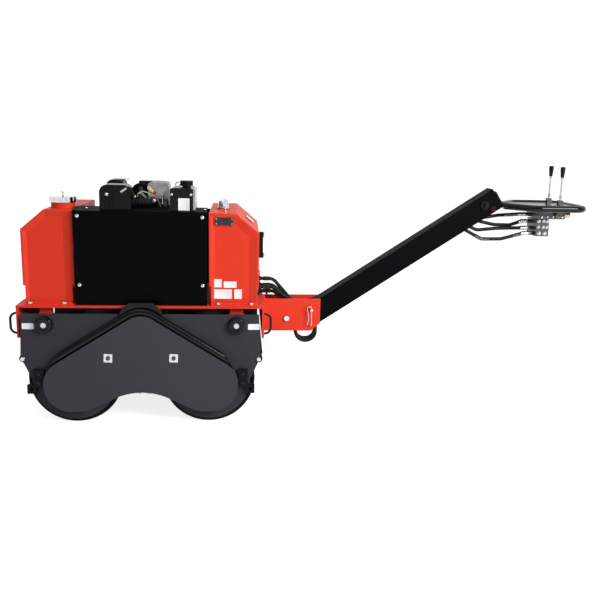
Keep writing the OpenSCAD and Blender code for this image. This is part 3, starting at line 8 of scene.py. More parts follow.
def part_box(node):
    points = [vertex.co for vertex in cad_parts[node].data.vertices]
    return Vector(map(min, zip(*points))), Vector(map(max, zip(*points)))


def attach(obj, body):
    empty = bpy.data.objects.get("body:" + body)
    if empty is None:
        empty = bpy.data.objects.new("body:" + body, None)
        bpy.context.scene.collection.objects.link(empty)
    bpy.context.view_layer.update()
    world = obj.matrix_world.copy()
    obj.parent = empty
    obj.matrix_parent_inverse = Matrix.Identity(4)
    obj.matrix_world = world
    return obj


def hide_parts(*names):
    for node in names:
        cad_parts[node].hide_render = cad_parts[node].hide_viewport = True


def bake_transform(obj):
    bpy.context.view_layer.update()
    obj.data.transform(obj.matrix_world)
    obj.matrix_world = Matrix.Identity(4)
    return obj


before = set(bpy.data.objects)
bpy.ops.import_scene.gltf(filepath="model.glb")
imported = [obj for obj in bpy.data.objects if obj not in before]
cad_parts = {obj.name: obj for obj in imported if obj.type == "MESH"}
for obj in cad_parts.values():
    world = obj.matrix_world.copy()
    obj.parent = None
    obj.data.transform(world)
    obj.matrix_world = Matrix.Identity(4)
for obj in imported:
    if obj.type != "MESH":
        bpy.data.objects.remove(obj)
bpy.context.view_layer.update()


# Camera: stands at the side of the machine, a little above it, and looks slightly down on it.
# It was found from the drums, the tanks and the steering beam of the photograph.
axles_mid = (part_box("front_drum")[0].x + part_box("rear_drum")[1].x) / 2


def at(x, y, z):
    """A point given in millimetres from the ground midway between the two drums."""
    return Vector((x / 1000 + axles_mid, y / 1000, z / 1000))


eye = bpy.data.cameras.new("eye")
eye.lens = 45.6
eye.sensor_width = 36
eye_object = bpy.data.objects.new("eye", eye)
eye_right = Vector((0.99698461, -0.07441201, 0.02201228))
eye_up = Vector((-0.00598191, 0.20912342, 0.97787096))
eye_ahead = Vector((0.07736863, 0.97505397, -0.2080477))
turned_eye = Matrix((eye_right, eye_up, -eye_ahead)).transposed().to_4x4()
eye_object.matrix_world = Matrix.Translation(at(444.85, -3669.68, 1294.79)) @ turned_eye
bpy.context.scene.collection.objects.link(eye_object)
bpy.context.scene.camera = eye_object


# Deck: folded steel plate, welded and powder coated together with the hitch and the tanks.
# The tanks are welded boxes of sheet steel that stand on the deck.
def linear(code):
    """An sRGB hex colour as the linear one that a shader takes."""
    parts = [int(code[i : i + 2], 16) / 255 for i in (1, 3, 5)]
    return tuple(c / 12.92 if c <= 0.04045 else ((c + 0.055) / 1.055) ** 2.4 for c in parts) + (1.0,)


def add(mat, kind, settings=None, links=None):
    """Adds one node with its settings and links and returns it."""
    made = mat.node_tree.nodes.new(kind)
    for key, value in (settings or {}).items():
        if isinstance(key, int) or key in made.inputs:
            made.inputs[key].default_value = value
        else:
            setattr(made, key, value)
    for key, source in (links or {}).items():
        mat.node_tree.links.new(source, made.inputs[key])
    return made


def blank(name):
    """An empty material."""
    mat = bpy.data.materials.new(name)
    mat.use_nodes = True
    mat.node_tree.nodes.clear()
    return mat


def patterned(name, *grains):
    """Starts a material: its place on the machine, and a noise for each (millimetres, detail, roughness)."""
    mat = blank(name)
    place = add(mat, "ShaderNodeTexCoord").outputs["Object"]
    noises = []
    for grain_mm, detail, rough in grains:
        settings = {"Scale": 1000 / grain_mm, "Detail": detail, "Roughness": rough}
        noises.append(add(mat, "ShaderNodeTexNoise", settings, {"Vector": place}).outputs["Fac"])
    return mat, place, *noises


def surfaced(mat, settings, hue, dulled, raised, rounded=None):
    """Ends a material: its colour, the pattern that dulls it and the one that raises it meet in a shader."""
    dulling, gloss_range = dulled
    relief, strength, depth_mm = raised
    gloss = add(mat, "ShaderNodeMapRange", gloss_range, {"Value": dulling})
    bump = add(mat, "ShaderNodeBump", {"Strength": strength, "Distance": depth_mm / 1000}, {"Height": relief})
    if rounded:
        mat.node_tree.links.new(rounded, bump.inputs["Normal"])
    shader = add(
        mat, "ShaderNodeBsdfPrincipled", settings,
        {"Base Color": hue, "Roughness": gloss.outputs[0], "Normal": bump.outputs[0]},
    )
    add(mat, "ShaderNodeOutputMaterial", {}, {"Surface": shader.outputs[0]})
    return mat


def powder_coat(name, code, rough, peel_mm, peel_depth_mm, rubbed_and_lit, level, edge_mm=1.2, proud=None):
    """Baked powder or brushed paint: orange peel of the given grain, a cloudy gloss and paler edges, part
    rubbed wear and part painted highlight.
    """
    cloud_mm, smear_mm = 220, 35
    thick_shade = 0.84  # where the coat lies thicker, it is darker by this share
    pale_edge_starts, pale_edge_is_full = 0.995, 0.86  # cosines between the rounded normal and the true one
    mat, place, cloud, smear, peel = patterned(
        name, (cloud_mm, 4.0, 0.6), (smear_mm, 6.0, 0.7), (peel_mm, 2.0, 0.5)
    )
    # a paler edge, part rubbed wear and part painted highlight, shows where a rounded normal leaves the true
    # one
    soft = add(mat, "ShaderNodeBevel", {"samples": 4, "Radius": edge_mm / 1000})
    true = add(mat, "ShaderNodeNewGeometry")
    facing = add(
        mat, "ShaderNodeVectorMath", {"operation": "DOT_PRODUCT"},
        {0: soft.outputs[0], 1: true.outputs["True Normal"]},
    )
    edge = add(
        mat, "ShaderNodeMapRange", {"From Min": pale_edge_starts, "From Max": pale_edge_is_full},
        {"Value": facing.outputs["Value"]},
    )
    wear_and_highlight = add(mat, "ShaderNodeMath", {"operation": "MULTIPLY"}, {0: edge.outputs[0], 1: smear})
    shade = tuple(c * thick_shade for c in linear(code)[:3]) + (1.0,)
    tone = add(mat, "ShaderNodeMix", {"data_type": "RGBA", 6: linear(code), 7: shade}, {0: cloud})
    # the rubbed colour on the edges is part wear and part painted highlight
    coat = add(
        mat, "ShaderNodeMix", {"data_type": "RGBA", 7: linear(rubbed_and_lit)},
        {0: wear_and_highlight.outputs[0], 6: tone.outputs[2]},
    )
    if proud:
        # what stands further out than the plate's face is painted in a colour of its own
        proud_code, face_mm = proud
        width = add(mat, "ShaderNodeSeparateXYZ", {}, {0: place})
        across = add(mat, "ShaderNodeMath", {"operation": "ABSOLUTE"}, {0: width.outputs["Y"]})
        beyond = add(
            mat, "ShaderNodeMath", {"operation": "GREATER_THAN", 1: face_mm / 1000}, {0: across.outputs[0]}
        )
        coat = add(
            mat, "ShaderNodeMix", {"data_type": "RGBA", 7: linear(proud_code)},
            {0: beyond.outputs[0], 6: coat.outputs[2]},
        )
    gloss_range = {"From Min": 0.3, "From Max": 0.7, "To Min": rough - 0.05, "To Max": rough + 0.07}
    skin = {"IOR": 1.5, "Specular IOR Level": level}
    raised = (peel, 0.6, peel_depth_mm)
    return surfaced(mat, skin, coat.outputs[2], (smear, gloss_range), raised, soft.outputs[0])


def coated(mat, *nodes):
    """Gives CAD nodes their finish."""
    for name in nodes:
        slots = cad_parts[name].data.materials
        if not slots:
            slots.append(mat)
        for i in range(len(slots)):
            slots[i] = mat


def laid(name, bm, body, slot, *finishes):
    """Makes a mesh a piece of the machine that moves with a body and takes the given finishes; slot is not
    used.
    """
    for face in bm.faces:
        face.smooth = True
    bmesh.ops.recalc_face_normals(bm, faces=bm.faces)
    mesh = bpy.data.meshes.new(name)
    bm.to_mesh(mesh)
    bm.free()
    crease = math.radians(34)
    mesh.set_sharp_from_angle(angle=crease)
    for finish in finishes:
        mesh.materials.append(finish)
    piece = bpy.data.objects.new(name, mesh)
    bpy.context.scene.collection.objects.link(piece)
    if body:
        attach(piece, body)
    return piece


def bent_line(corners, bend, step):
    """Evenly spaced points, in millimetres, along straight runs joined by arcs."""
    nearly_straight = 0.01
    rough = [Vector(corners[0])]
    for before, here, after in zip(corners, corners[1:], corners[2:]):
        a, b, c = Vector(before), Vector(here), Vector(after)
        go, leave = (b - a).normalized(), (c - b).normalized()
        turn = go.angle(leave)
        if turn < nearly_straight:
            continue
        start = b - go * bend * math.tan(turn / 2)
        axis = go.cross(leave).normalized()
        middle = start + axis.cross(go) * bend
        count = max(3, round(bend * turn / step))
        spins = [Matrix.Rotation(turn * i / count, 3, axis) for i in range(count + 1)]
        rough += [middle + spin @ (start - middle) for spin in spins]
    rough.append(Vector(corners[-1]))
    far = [0.0]
    for a, b in zip(rough, rough[1:]):
        far.append(far[-1] + (b - a).length)
    count = max(2, round(far[-1] / step))
    line, k = [], 0
    for i in range(count + 1):
        want = far[-1] * i / count
        while k < len(far) - 2 and far[k + 1] < want:
            k += 1
        share = (want - far[k]) / max(far[k + 1] - far[k], 1e-9)
        line.append(rough[k].lerp(rough[k + 1], share))
    return line


def heading(line, i):
    """The direction of a line at one of its points."""
    return (line[min(i + 1, len(line) - 1)] - line[max(i - 1, 0)]).normalized()


def carried(side, ahead):
    """A direction square to a line, carried along the line without a twist."""
    return (ahead.orthogonal() if side is None else side - ahead * side.dot(ahead)).normalized()


def ring_about(bm, middle, side, over, r, around):
    """A ring of points about a middle, in the plane of two directions that are square to each other."""
    turns = [2 * math.pi * k / around for k in range(around)]
    return [bm.verts.new(at(*(middle + (side * math.cos(t) + over * math.sin(t)) * r))) for t in turns]


def swept(bm, line, reach, around=16, finish=0):
    """Sweeps a round section along a line in millimetres; reach(run) is its radius. UVs run in metres."""
    girth_m = 0.05  # the width of the UV sheet that wraps the section
    sheet = bm.loops.layers.uv.verify()
    rings, runs, run, side = [], [], 0.0, None
    for i, here in enumerate(line):
        ahead = heading(line, i)
        side = carried(side, ahead)
        run += (here - line[i - 1]).length if i else 0.0
        rings.append(ring_about(bm, here, side, ahead.cross(side), reach(run), around))
        runs.append(run / 1000)
    for i, (a, b) in enumerate(zip(rings, rings[1:])):
        for k in range(around):
            face = bm.faces.new((a[k], a[(k + 1) % around], b[(k + 1) % around], b[k]))
            face.material_index = finish
            ends = (runs[i], runs[i], runs[i + 1], runs[i + 1])
            for loop, u, v in zip(face.loops, ends, (k, k + 1, k + 1, k)):
                loop[sheet].uv = (u, v * girth_m / around)
    for ring in (rings[0][::-1], rings[-1]):
        bm.faces.new(ring).material_index = finish


def bead(bm, corners, leg, bend=1.0):
    """A weld bead on a seam, with the ripples that each dip of the wire leaves."""
    ripple_mm = 5.0  # real ripples are 2 mm apart; drawn coarser so that they show
    ripple_share, step_mm = 0.13, 1.7
    line = bent_line(corners, bend, step_mm)
    swept(bm, line, lambda run: leg * (1 + ripple_share * math.sin(2 * math.pi * run / ripple_mm)), 8)


# Polyester powder baked on blasted steel: a warm red with soft highlights and paler edges, part rubbed wear
# and part painted highlight.
red_powder = powder_coat("red_powder_coat", "#E83E2A", 0.42, 2.4, 0.05, "#EC6A55", 0.12)
coated(red_powder, "base_frame", "hitch_box", "water_tank", "oil_tank")

hitch_seam_x, hitch_seam_y, hitch_seam_zs, hitch_leg = 552.2, 57.6, (376, 524), 3.4
tank_ends, tank_side_y, tank_foot_z, tank_leg = ((-512, -307), (310, 515)), 270.8, 550, 3.0
cross_seam_out, cross_seam_half, cross_seam_z = 1.6, 286, 544
deck_beads = bmesh.new()
for y in (-hitch_seam_y, hitch_seam_y):
    bead(deck_beads, [(hitch_seam_x, y, z) for z in hitch_seam_zs], hitch_leg)
for near_x, far_x in tank_ends:
    for y in (-tank_side_y, tank_side_y):
        bead(deck_beads, [(x, y, tank_foot_z) for x in (near_x, far_x)], tank_leg)
    for x in (near_x - cross_seam_out, far_x + cross_seam_out):
        bead(deck_beads, [(x, y, cross_seam_z) for y in (-cross_seam_half, cross_seam_half)], tank_leg)
laid("deck_weld_beads", deck_beads, "root", "red_paint", red_powder)


# Drums: rolled plate with welded end discs, primed and painted near black.
# The shells are the part that works, so their rims rub paler, and the paler rims are also a painted
# highlight. The tubes and scrapers share their paint.
# Brushed enamel on rolled plate: nearly black and a little uneven, with a dull gloss.
drum_paint = powder_coat("drum_enamel", "#0E0E10", 0.45, 1.6, 0.06, "#2E2E31", 0.08, 2.0)
coated(drum_paint, "front_drum", "rear_drum", "cross_tubes", "scrapers")

drum_x, axle_z = 300, 210
rim_weld_r, rim_weld_y, rim_weld_leg, rim_steps, rim_bend = 197, 270.8, 3.2, 40, 30
for body, x in (("front_drum", -drum_x), ("rear_drum", drum_x)):
    rim_weld = bmesh.new()
    turns = [2 * math.pi * t / rim_steps for t in range(rim_steps + 1)]
    for y in (-rim_weld_y, rim_weld_y):
        circle = [(x + rim_weld_r * math.cos(t), y, axle_z + rim_weld_r * math.sin(t)) for t in turns]
        bead(rim_weld, circle, rim_weld_leg, rim_bend)
    laid(body + "_rim_weld", rim_weld, body, "drum_steel", drum_paint)


# Side plates and drive cases: flame-cut plate and pressed sheet, painted charcoal.
# The lugs and cover plates that stand proud of the side plates are black.
# Fine-structure powder is gritty: it scatters light, hides fingerprints and looks dry and dark grey.
charcoal = powder_coat("charcoal_structure_coat", "#3E3E45", 0.6, 1.1, 0.10, "#55555C", 0.15)
coated(charcoal, "chain_case", "belt_case")
plate_face_y = 320.6
plate_coat = powder_coat(
    "charcoal_coat_black_lugs", "#37373D", 0.6, 1.1, 0.10, "#4C4C53", 0.12, proud=("#0C0C0E", plate_face_y)
)
coated(plate_coat, "side_plates")


# Guard bars, tie-down loops and handle head: bent round bar and tube with a flat plate, sprayed black.
# Wet enamel on smooth tube: deep black with long, crisp reflections along the bends.
gloss_black = powder_coat("gloss_black_enamel", "#08080A", 0.17, 3.0, 0.03, "#18181A", 0.2)
coated(gloss_black, "guard_bars", "tie_down_loops", "head_frame")


# Rubber buffers: bonded rubber between two plates, with a dished steel cup under the bolt.
# The cup is painted with the frame's gloss black; the belt and the starter's grip are rubber too.
def moulded(name, code, rough, grain_mm, depth_mm, level, dusty="#3A3A3B"):
    """Moulded plastic or rubber: the grain of the mould, and dust that settles on what faces up."""
    patch_mm = 50
    mat, _, grain, patch = patterned(name, (grain_mm, 3.0, 0.6), (patch_mm, 5.0, 0.65))
    lie = add(mat, "ShaderNodeNewGeometry")
    up = add(mat, "ShaderNodeSeparateXYZ", {}, {0: lie.outputs["Normal"]})
    flat = add(
        mat, "ShaderNodeMapRange", {"From Min": 0.4, "From Max": 1.0, "To Max": 0.5},
        {"Value": up.outputs["Z"]},
    )
    dust = add(mat, "ShaderNodeMath", {"operation": "MULTIPLY"}, {0: flat.outputs[0], 1: patch})
    tone = add(
        mat, "ShaderNodeMix", {"data_type": "RGBA", 6: linear(code), 7: linear(dusty)}, {0: dust.outputs[0]}
    )
    gloss_range = {"To Min": rough - 0.08, "To Max": min(rough + 0.08, 1.0)}
    skin = {"IOR": 1.5, "Specular IOR Level": level}
    return surfaced(mat, skin, tone.outputs[2], (patch, gloss_range), (grain, 0.5, depth_mm))


def turned(bm, place, axis, profile, around=32, finish=0):
    """Turns a profile of (radius, height) pairs about an axis through a place, all in millimetres."""
    place, axis = Vector(place), Vector(axis).normalized()
    side = axis.orthogonal().normalized()
    over = axis.cross(side)
    rings = []
    for r, h in profile:
        if r == 0:
            rings.append([bm.verts.new(at(*(place + axis * h)))])
            continue
        rings.append(ring_about(bm, place + axis * h, side, over, r, around))
    for a, b in zip(rings, rings[1:]):
        for k in range(around):
            n = (k + 1) % around
            corners = [a[k % len(a)], a[n % len(a)], b[n % len(b)], b[k % len(b)]]
            bm.faces.new(list(dict.fromkeys(corners))).material_index = finish
    for ring in (rings[0], rings[-1]):
        if len(ring) > 1:
            bm.faces.new(ring).material_index = finish


# Moulded natural rubber: black, dull and grainy, with a dusty bloom on top.
black_rubber = moulded("natural_rubber", "#0F0F10", 0.66, 0.9, 0.10, 0.15, "#242424")
buffer_x, buffer_z, mount_y, cup_y, buffer_around = 425, 462, 272, 320.2, 40
waisted = [(39, 0), (39, 5), (37, 7), (34.5, 13), (33.8, 20), (34.5, 27), (37, 33), (39, 35), (39, 39.7)]
dished = [
    (38, 0), (39, 2), (39, 9), (38, 15), (35.5, 19.5), (32, 21.5), (27, 21.8), (22, 20.6), (14, 20.2),
    (0, 20.2),
]
buffers = bmesh.new()
for x in (-buffer_x, buffer_x):
    for side in (-1, 1):
        turned(buffers, (x, side * mount_y, buffer_z), (0, side, 0), waisted, buffer_around)
        turned(buffers, (x, side * cup_y, buffer_z), (0, side, 0), dished, buffer_around, 1)
buffers = laid("rubber_buffers_bonded", buffers, "root", "rubber", black_rubber, gloss_black)
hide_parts("rubber_buffers")
coated(black_rubber, "vibration_belt", "starter_grip")


# Bolts: rolled steel screws, zinc plated and passivated, on plain washers; the hood's are on rubber.
# The pins, plug plates and control rods have the same plating.
def plated(name, code, rough, cloud_mm, scratch_depth_mm, stain, stain_share=0.5):
    """Bare or plated metal: a clouded gloss, fine rubbing marks and a stain in patches."""
    rub_mm = 1.4
    mat, _, cloud, rub = patterned(name, (cloud_mm, 4.0, 0.6), (rub_mm, 3.0, 0.7))
    patch = add(
        mat, "ShaderNodeMapRange", {"From Min": 0.42, "From Max": 0.75, "To Max": stain_share},
        {"Value": cloud},
    )
    tone = add(
        mat, "ShaderNodeMix", {"data_type": "RGBA", 6: linear(code), 7: linear(stain)}, {0: patch.outputs[0]}
    )
    gloss_range = {"To Min": max(rough - 0.07, 0.03), "To Max": rough + 0.09}
    raised = (rub, 0.4, scratch_depth_mm)
    return surfaced(mat, {"Metallic": 1.0}, tone.outputs[2], (cloud, gloss_range), raised)


def hex_screw(bm, place, axis, across, head, washer_r=0.0, finish=0, washer_finish=None):
    """A hexagon head with its chamfered crown, and a washer under it where one is given."""
    washer_thick, seat, chamfer, crown_dip = 1.8, 1.6, 0.09, 0.3
    place, axis = Vector(place), Vector(axis).normalized()
    if washer_r:
        ring = [(washer_r, 0), (washer_r, 1.2), (washer_r - 0.6, washer_thick), (across * 0.4, washer_thick)]
        turned(bm, place, axis, ring, 32, finish if washer_finish is None else washer_finish)
        place = place + axis * seat
    r = across / math.sqrt(3)
    crown = [(r * 0.84, head), (r * 0.5, head - crown_dip), (0, head - crown_dip)]
    turned(bm, place, axis, [(r, 0), (r, head - across * chamfer)] + crown, 6, finish)


def dome_screw(bm, place, axis, r, head, washer_r=0.0, finish=0, washer_finish=None):
    """A low domed head with a shallow recess, on its washer where one is given."""
    washer_thick, seat, recess = 1.5, 1.3, 0.8
    place, axis = Vector(place), Vector(axis).normalized()
    if washer_r:
        ring = [(washer_r, 0), (washer_r, 1.0), (washer_r - 0.7, washer_thick), (r * 0.8, washer_thick)]
        turned(bm, place, axis, ring, 32, finish if washer_finish is None else washer_finish)
        place = place + axis * seat
    arc = [(r * math.cos(t * math.pi / 12), head * math.sin(t * math.pi / 12)) for t in range(1, 6)]
    turned(bm, place, axis, [(r, 0)] + arc + [(r * 0.3, head * recess), (0, head * recess)], 28, finish)


# Zinc plate: bright and slightly blue, with a cloudy satin gloss where the bath left crystals.
bright_zinc = plated("zinc_plated_steel", "#C6CACE", 0.27, 9, 0.02, "#B9BDC6")
m10_bolt = {"across": 17, "head": 7, "washer_r": 10}
cup_bolt = {"across": 16, "head": 4.4, "washer_r": 12}
hood_screw = {"r": 8, "head": 3.0, "washer_r": 10.2, "washer_finish": 1}
tube_bolt_x, tube_bolt_z, plate_outer_y = 527, 302, 320.1
cup_bolt_y = 340.5
foot_bolt_xs, foot_bolt_y, foot_top_z = (-490, -341, 344, 493), 281, 549.1
hood_bolt_x, hood_side_y, hood_near_z, hood_far_z, hood_low_z = 272, 285.1, 943, 907, 635.3
bolts = bmesh.new()
for side in (-1, 1):
    out = (0, side, 0)
    for x in (-tube_bolt_x, tube_bolt_x):
        hex_screw(bolts, (x, side * plate_outer_y, tube_bolt_z), out, **m10_bolt)
    for x in (-buffer_x, buffer_x):
        hex_screw(bolts, (x, side * cup_bolt_y, buffer_z), out, **cup_bolt)
    for x in foot_bolt_xs:
        hex_screw(bolts, (x, side * foot_bolt_y, foot_top_z), (0, 0, 1), **m10_bolt)
    for x in (-hood_bolt_x, hood_bolt_x):
        for z in (hood_near_z if side < 0 else hood_far_z, hood_low_z):
            dome_screw(bolts, (x, side * hood_side_y, z), out, **hood_screw)
bolts = laid("frame_bolts_washered", bolts, "root", "zinc", bright_zinc, black_rubber)
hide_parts("frame_bolts")
coated(bright_zinc, "case_plugs", "pivot_bolt", "lock_pin", "travel_lever", "vibration_lever")

corner_x, corner_face_y, corner_screw_zs = 455, 338.1, (196, 240)
corner_screw = {"across": 15, "head": 6, "washer_r": 11}
corner_screws = bmesh.new()
for x in (-corner_x, corner_x):
    for side in (-1, 1):
        for z in corner_screw_zs:
            hex_screw(corner_screws, (x, side * corner_face_y, z), (0, side, 0), **corner_screw)
laid("corner_screws", corner_screws, "root", "black_paint", gloss_black)

# Oiled bare steel: the grey, stained middle of each plug, with its sunk centre.
oiled_steel = plated("oiled_steel", "#55565A", 0.4, 5, 0.03, "#2C2C2E", 0.9)
plug_x, plug_y, plug_z = 145, 363.8, 317
plug_shape = [(9.5, 0), (9.5, 1), (8.6, 1.6), (6.4, 1.6), (5.6, 0.8), (0, 0.8)]
plug_centres = bmesh.new()
for x in (-plug_x, plug_x):
    for side in (-1, 1):
        turned(plug_centres, (x, side * plug_y, plug_z), (0, side, 0), plug_shape, 32)
laid("plug_centres", plug_centres, "root", "dark_steel", oiled_steel)


# Stickers and plates: cut vinyl on the machine's flanks, and a blank data plate of anodised aluminium
# on a raised pad of the tank. All are left without any print.
def skinned(bm, rings, finish):
    """Joins equal rings of points, each to the next, and closes both ends."""
    for a, b in zip(rings, rings[1:]):
        for k in range(len(a)):
            n = (k + 1) % len(a)
            bm.faces.new((a[k], a[n], b[n], b[k])).material_index = finish
    for ring in (rings[0][::-1], rings[-1]):
        bm.faces.new(ring).material_index = finish


def label(bm, middle, right, up, width, height, corner, thick=0.5, finish=0):
    """A thin plate with rounded corners, from its lower face's middle; right x up points out of it."""
    middle, right, up = Vector(middle), Vector(right).normalized(), Vector(up).normalized()
    out = right.cross(up)
    corner_steps, tighter = 4, 0.8
    rings = []
    for inset, lift in ((0.0, 0.0), (0.0, thick * 0.6), (0.4, thick), (1.6, thick), (1.9, thick * 0.8)):
        ring, r = [], corner - inset * tighter
        for k, (sx, sy) in enumerate(((1, 1), (-1, 1), (-1, -1), (1, -1))):
            for i in range(corner_steps + 1):
                t = (k + i / corner_steps) * math.pi / 2
                a = sx * (width / 2 - corner) + r * math.cos(t)
                b = sy * (height / 2 - corner) + r * math.sin(t)
                ring.append(bm.verts.new(at(*(middle + right * a + up * b + out * lift))))
        rings.append(ring)
    skinned(bm, rings, finish)


# Cut vinyl film: smooth, glossy white, with a dull edge where the film lifts.
white_vinyl = moulded("white_vinyl", "#EDEEEF", 0.3, 14.0, 0.05, 0.5, "#C4C4C0")
# Anodised aluminium sheet: dark grey, even and satin, with fine handling marks.
grey_plate = plated("black_anodised_aluminium", "#3C3D40", 0.36, 16, 0.02, "#505257")
east, high = (1, 0, 0), (0, 0, 1)
flank_y, flank_corner = -320.1, 3
tank_dish_y, tank_corner = -260.3, 2.5
flank_stickers = ((-497, 454, 52, 27), (503, 454, 52, 27))
tank_stickers = ((340, 643, 34, 38), (395, 637, 58, 29), (363, 593, 80, 44), (431, 593, 34, 44))
stickers = bmesh.new()
for x, z, w, h in flank_stickers:
    label(stickers, (x, flank_y, z), east, high, w, h, flank_corner)
for x, z, w, h in tank_stickers:
    label(stickers, (x, tank_dish_y, z), east, high, w, h, tank_corner)
# the white label on the tank's chamfer lies where a bright band runs along it: part sticker, part painted
# highlight
tank_slope = math.radians(39.8)
slope_out = Vector((math.sin(tank_slope), 0, math.cos(tank_slope)))
slope_up = (-math.cos(tank_slope), 0, math.sin(tank_slope))
slope_middle, slope_width, slope_height, film_gap = Vector((486.4, -10, 910.9)), 90, 46, 0.2
on_slope = slope_middle + slope_out * film_gap
label(stickers, on_slope, (0, -1, 0), slope_up, slope_width, slope_height, flank_corner)
laid("blank_stickers", stickers, "root", "nylon", white_vinyl)

plate_x, plate_z, pad_y, plate_y, rivet_y = 367, 925, -259.6, -267, -268.2
plate_width, plate_height, plate_corner, plate_thick = 80, 33, 3, 1.2
pad_over, pad_thick = 4, 7.6
rivet_half_x, rivet_half_z, rivet_r, rivet_head = 35, 11, 2.6, 1.4
data_plate = bmesh.new()
label(
    data_plate, (plate_x, pad_y, plate_z), east, high,
    plate_width + pad_over, plate_height + pad_over, plate_corner + 1, pad_thick, 2,
)
label(
    data_plate, (plate_x, plate_y, plate_z), east, high, plate_width, plate_height, plate_corner, plate_thick
)
for x in (plate_x - rivet_half_x, plate_x + rivet_half_x):
    for z in (plate_z - rivet_half_z, plate_z + rivet_half_z):
        dome_screw(data_plate, (x, rivet_y, z), (0, -1, 0), rivet_r, rivet_head, finish=1)
laid("blank_data_plate", data_plate, "root", "steel", grey_plate, bright_zinc, red_powder)


# Hood: pressed sheet steel between the tanks, held by screws on rubber washers.
# The screws on its shoulder stand square to the slope.
# Satin enamel: black with a soft, nearly closed sheen.
satin_black = powder_coat("satin_black_enamel", "#060607", 0.46, 2.0, 0.05, "#18181A", 0.03)
coated(satin_black, "engine_hood")
shoulder_rise, shoulder_run, shoulder_edge_z = 13, 86, 966
shoulder = math.atan2(shoulder_rise, shoulder_run)
shoulder_out = (0, -math.sin(shoulder), math.cos(shoulder))
screw_xs, screw_y, screw_in = (-237, 282), -242, 43
shoulder_screw = {"r": 6.5, "head": 3.4, "washer_r": 9, "washer_finish": 1}
screw_z = shoulder_edge_z + screw_in * math.tan(shoulder) + film_gap
hood_screws = bmesh.new()
for x in screw_xs:
    dome_screw(hood_screws, (x, screw_y, screw_z), shoulder_out, **shoulder_screw)
laid("hood_shoulder_screws", hood_screws, "root", "zinc", bright_zinc, black_rubber)


# Engine block: cast iron and die-cast aluminium parts, oily and a little dusty.
# The shafts, chain and sprockets that it drives are turned or machined from bar.
def sand_cast(name, code, rough, grain_mm, depth_mm, grime):
    """A cast metal skin: the grain of the mould and grime in patches."""
    patch_mm = 30
    mat, place, patch = patterned(name, (patch_mm, 5.0, 0.65))
    grain = add(
        mat, "ShaderNodeTexVoronoi", {"feature": "SMOOTH_F1", "Scale": 1000 / grain_mm}, {"Vector": place}
    )
    hollow = add(
        mat, "ShaderNodeMapRange", {"From Min": 0.45, "From Max": 0.8, "To Max": 0.8}, {"Value": patch}
    )
    tone = add(
        mat, "ShaderNodeMix", {"data_type": "RGBA", 6: linear(code), 7: linear(grime)}, {0: hollow.outputs[0]}
    )
    gloss_range = {"To Min": rough - 0.1, "To Max": rough + 0.15}
    raised = (grain.outputs["Distance"], 0.6, depth_mm)
    return surfaced(mat, {"Metallic": 1.0}, tone.outputs[2], (patch, gloss_range), raised)


# Sand-cast iron: dark grey, coarse and dull.
cast_iron = sand_cast("sand_cast_iron", "#46464A", 0.62, 1.6, 0.25, "#242425")
# Die-cast aluminium: paler and smoother, with grime in patches.
cast_aluminium = sand_cast("die_cast_aluminium", "#A3A4A4", 0.38, 1.1, 0.14, "#5E5C58")
# Machined steel: grey with fine tool marks under a film of oil.
machined = plated("machined_steel", "#9A9A9C", 0.3, 6, 0.03, "#6F6C68")
coated(cast_iron, "crankcase", "hydraulic_pump", "drive_motors", "drum_bearings", "finned_cylinder")
coated(cast_aluminium, "rocker_cover", "flywheel", "motor_pulley")
coated(machined, "drive_sprocket", "front_hubs", "rear_hubs", "front_exciter", "rear_exciter", "drive_chain")
coated(machined, "tensioners", "throttle_lever")


# Engine covers: stamped and moulded shrouds round the cylinder, with stiffening ribs.
# The ribs and rims here are laid on the plain shells, with the screws that hold them.
# Gloss enamel on a slightly uneven pressing: black, with highlights that wander along the edges.
shroud_black = powder_coat("shroud_enamel", "#0A0A0B", 0.24, 4.0, 0.06, "#2C2C2E", 0.16)
# Moulded nylon: black with a fine, dull grain.
moulded_black = moulded("moulded_nylon", "#0B0B0C", 0.4, 0.8, 0.06, 0.15, "#222223")
coated(shroud_black, "air_shroud", "recoil_housing", "air_cleaner")


def flat_bar(bm, line, across, width, thick, finish=0):
    """A strip along a line in millimetres; across is the direction of its width."""
    edge, edge_share = 0.5, 0.6
    across = Vector(across).normalized()
    rings = []
    for i, here in enumerate(line):
        ahead = heading(line, i)
        wide = (across - ahead * across.dot(ahead)).normalized()
        out = ahead.cross(wide)
        w, t = width / 2, thick / 2
        upper = ((w, t * edge_share), (w - edge, t), (edge - w, t), (-w, t * edge_share))
        section = upper + tuple((-a, -b) for a, b in upper)
        rings.append([bm.verts.new(at(*(here + wide * a + out * b))) for a, b in section])
    skinned(bm, rings, finish)


box_rim = [(-170, -257.5, 1040), (-170, -258.6, 1053), (-52, -258.6, 1053), (-52, -257.5, 1040)]
box_rib_xs, box_rib_ends = (-148, -132, -116, -100), ((-258.2, 978), (-258.8, 1026))
box_rim_r, box_rib_r = 2.4, 1.9
box_screw = {"r": 5.4, "head": 3.2, "washer_r": 7, "finish": 1}
air_box = bmesh.new()
swept(air_box, bent_line(box_rim, 8, 3), lambda run: box_rim_r, 10)
for x in box_rib_xs:
    swept(air_box, bent_line([(x, y, z) for y, z in box_rib_ends], 4, 3), lambda run: box_rib_r, 8)
dome_screw(air_box, (-147, -258.1, 1036), (0, -1, 0), **box_screw)
laid("air_cleaner_ribs", air_box, "root", "black_paint", shroud_black, bright_zinc)

fan_x, fan_y, fan_z, fan_rib_r = 20, -60.6, 1004, 1.8
shroud_ribs = bmesh.new()
for r in range(24, 55, 10):
    turns = [t / 10 for t in range(1, 15)]
    arc = [Vector((fan_x - r * math.cos(t), fan_y, fan_z + r * math.sin(t))) for t in turns]
    swept(shroud_ribs, arc, lambda run: fan_rib_r, 8)
laid("air_shroud_ribs", shroud_ribs, "root", "black_paint", shroud_black)

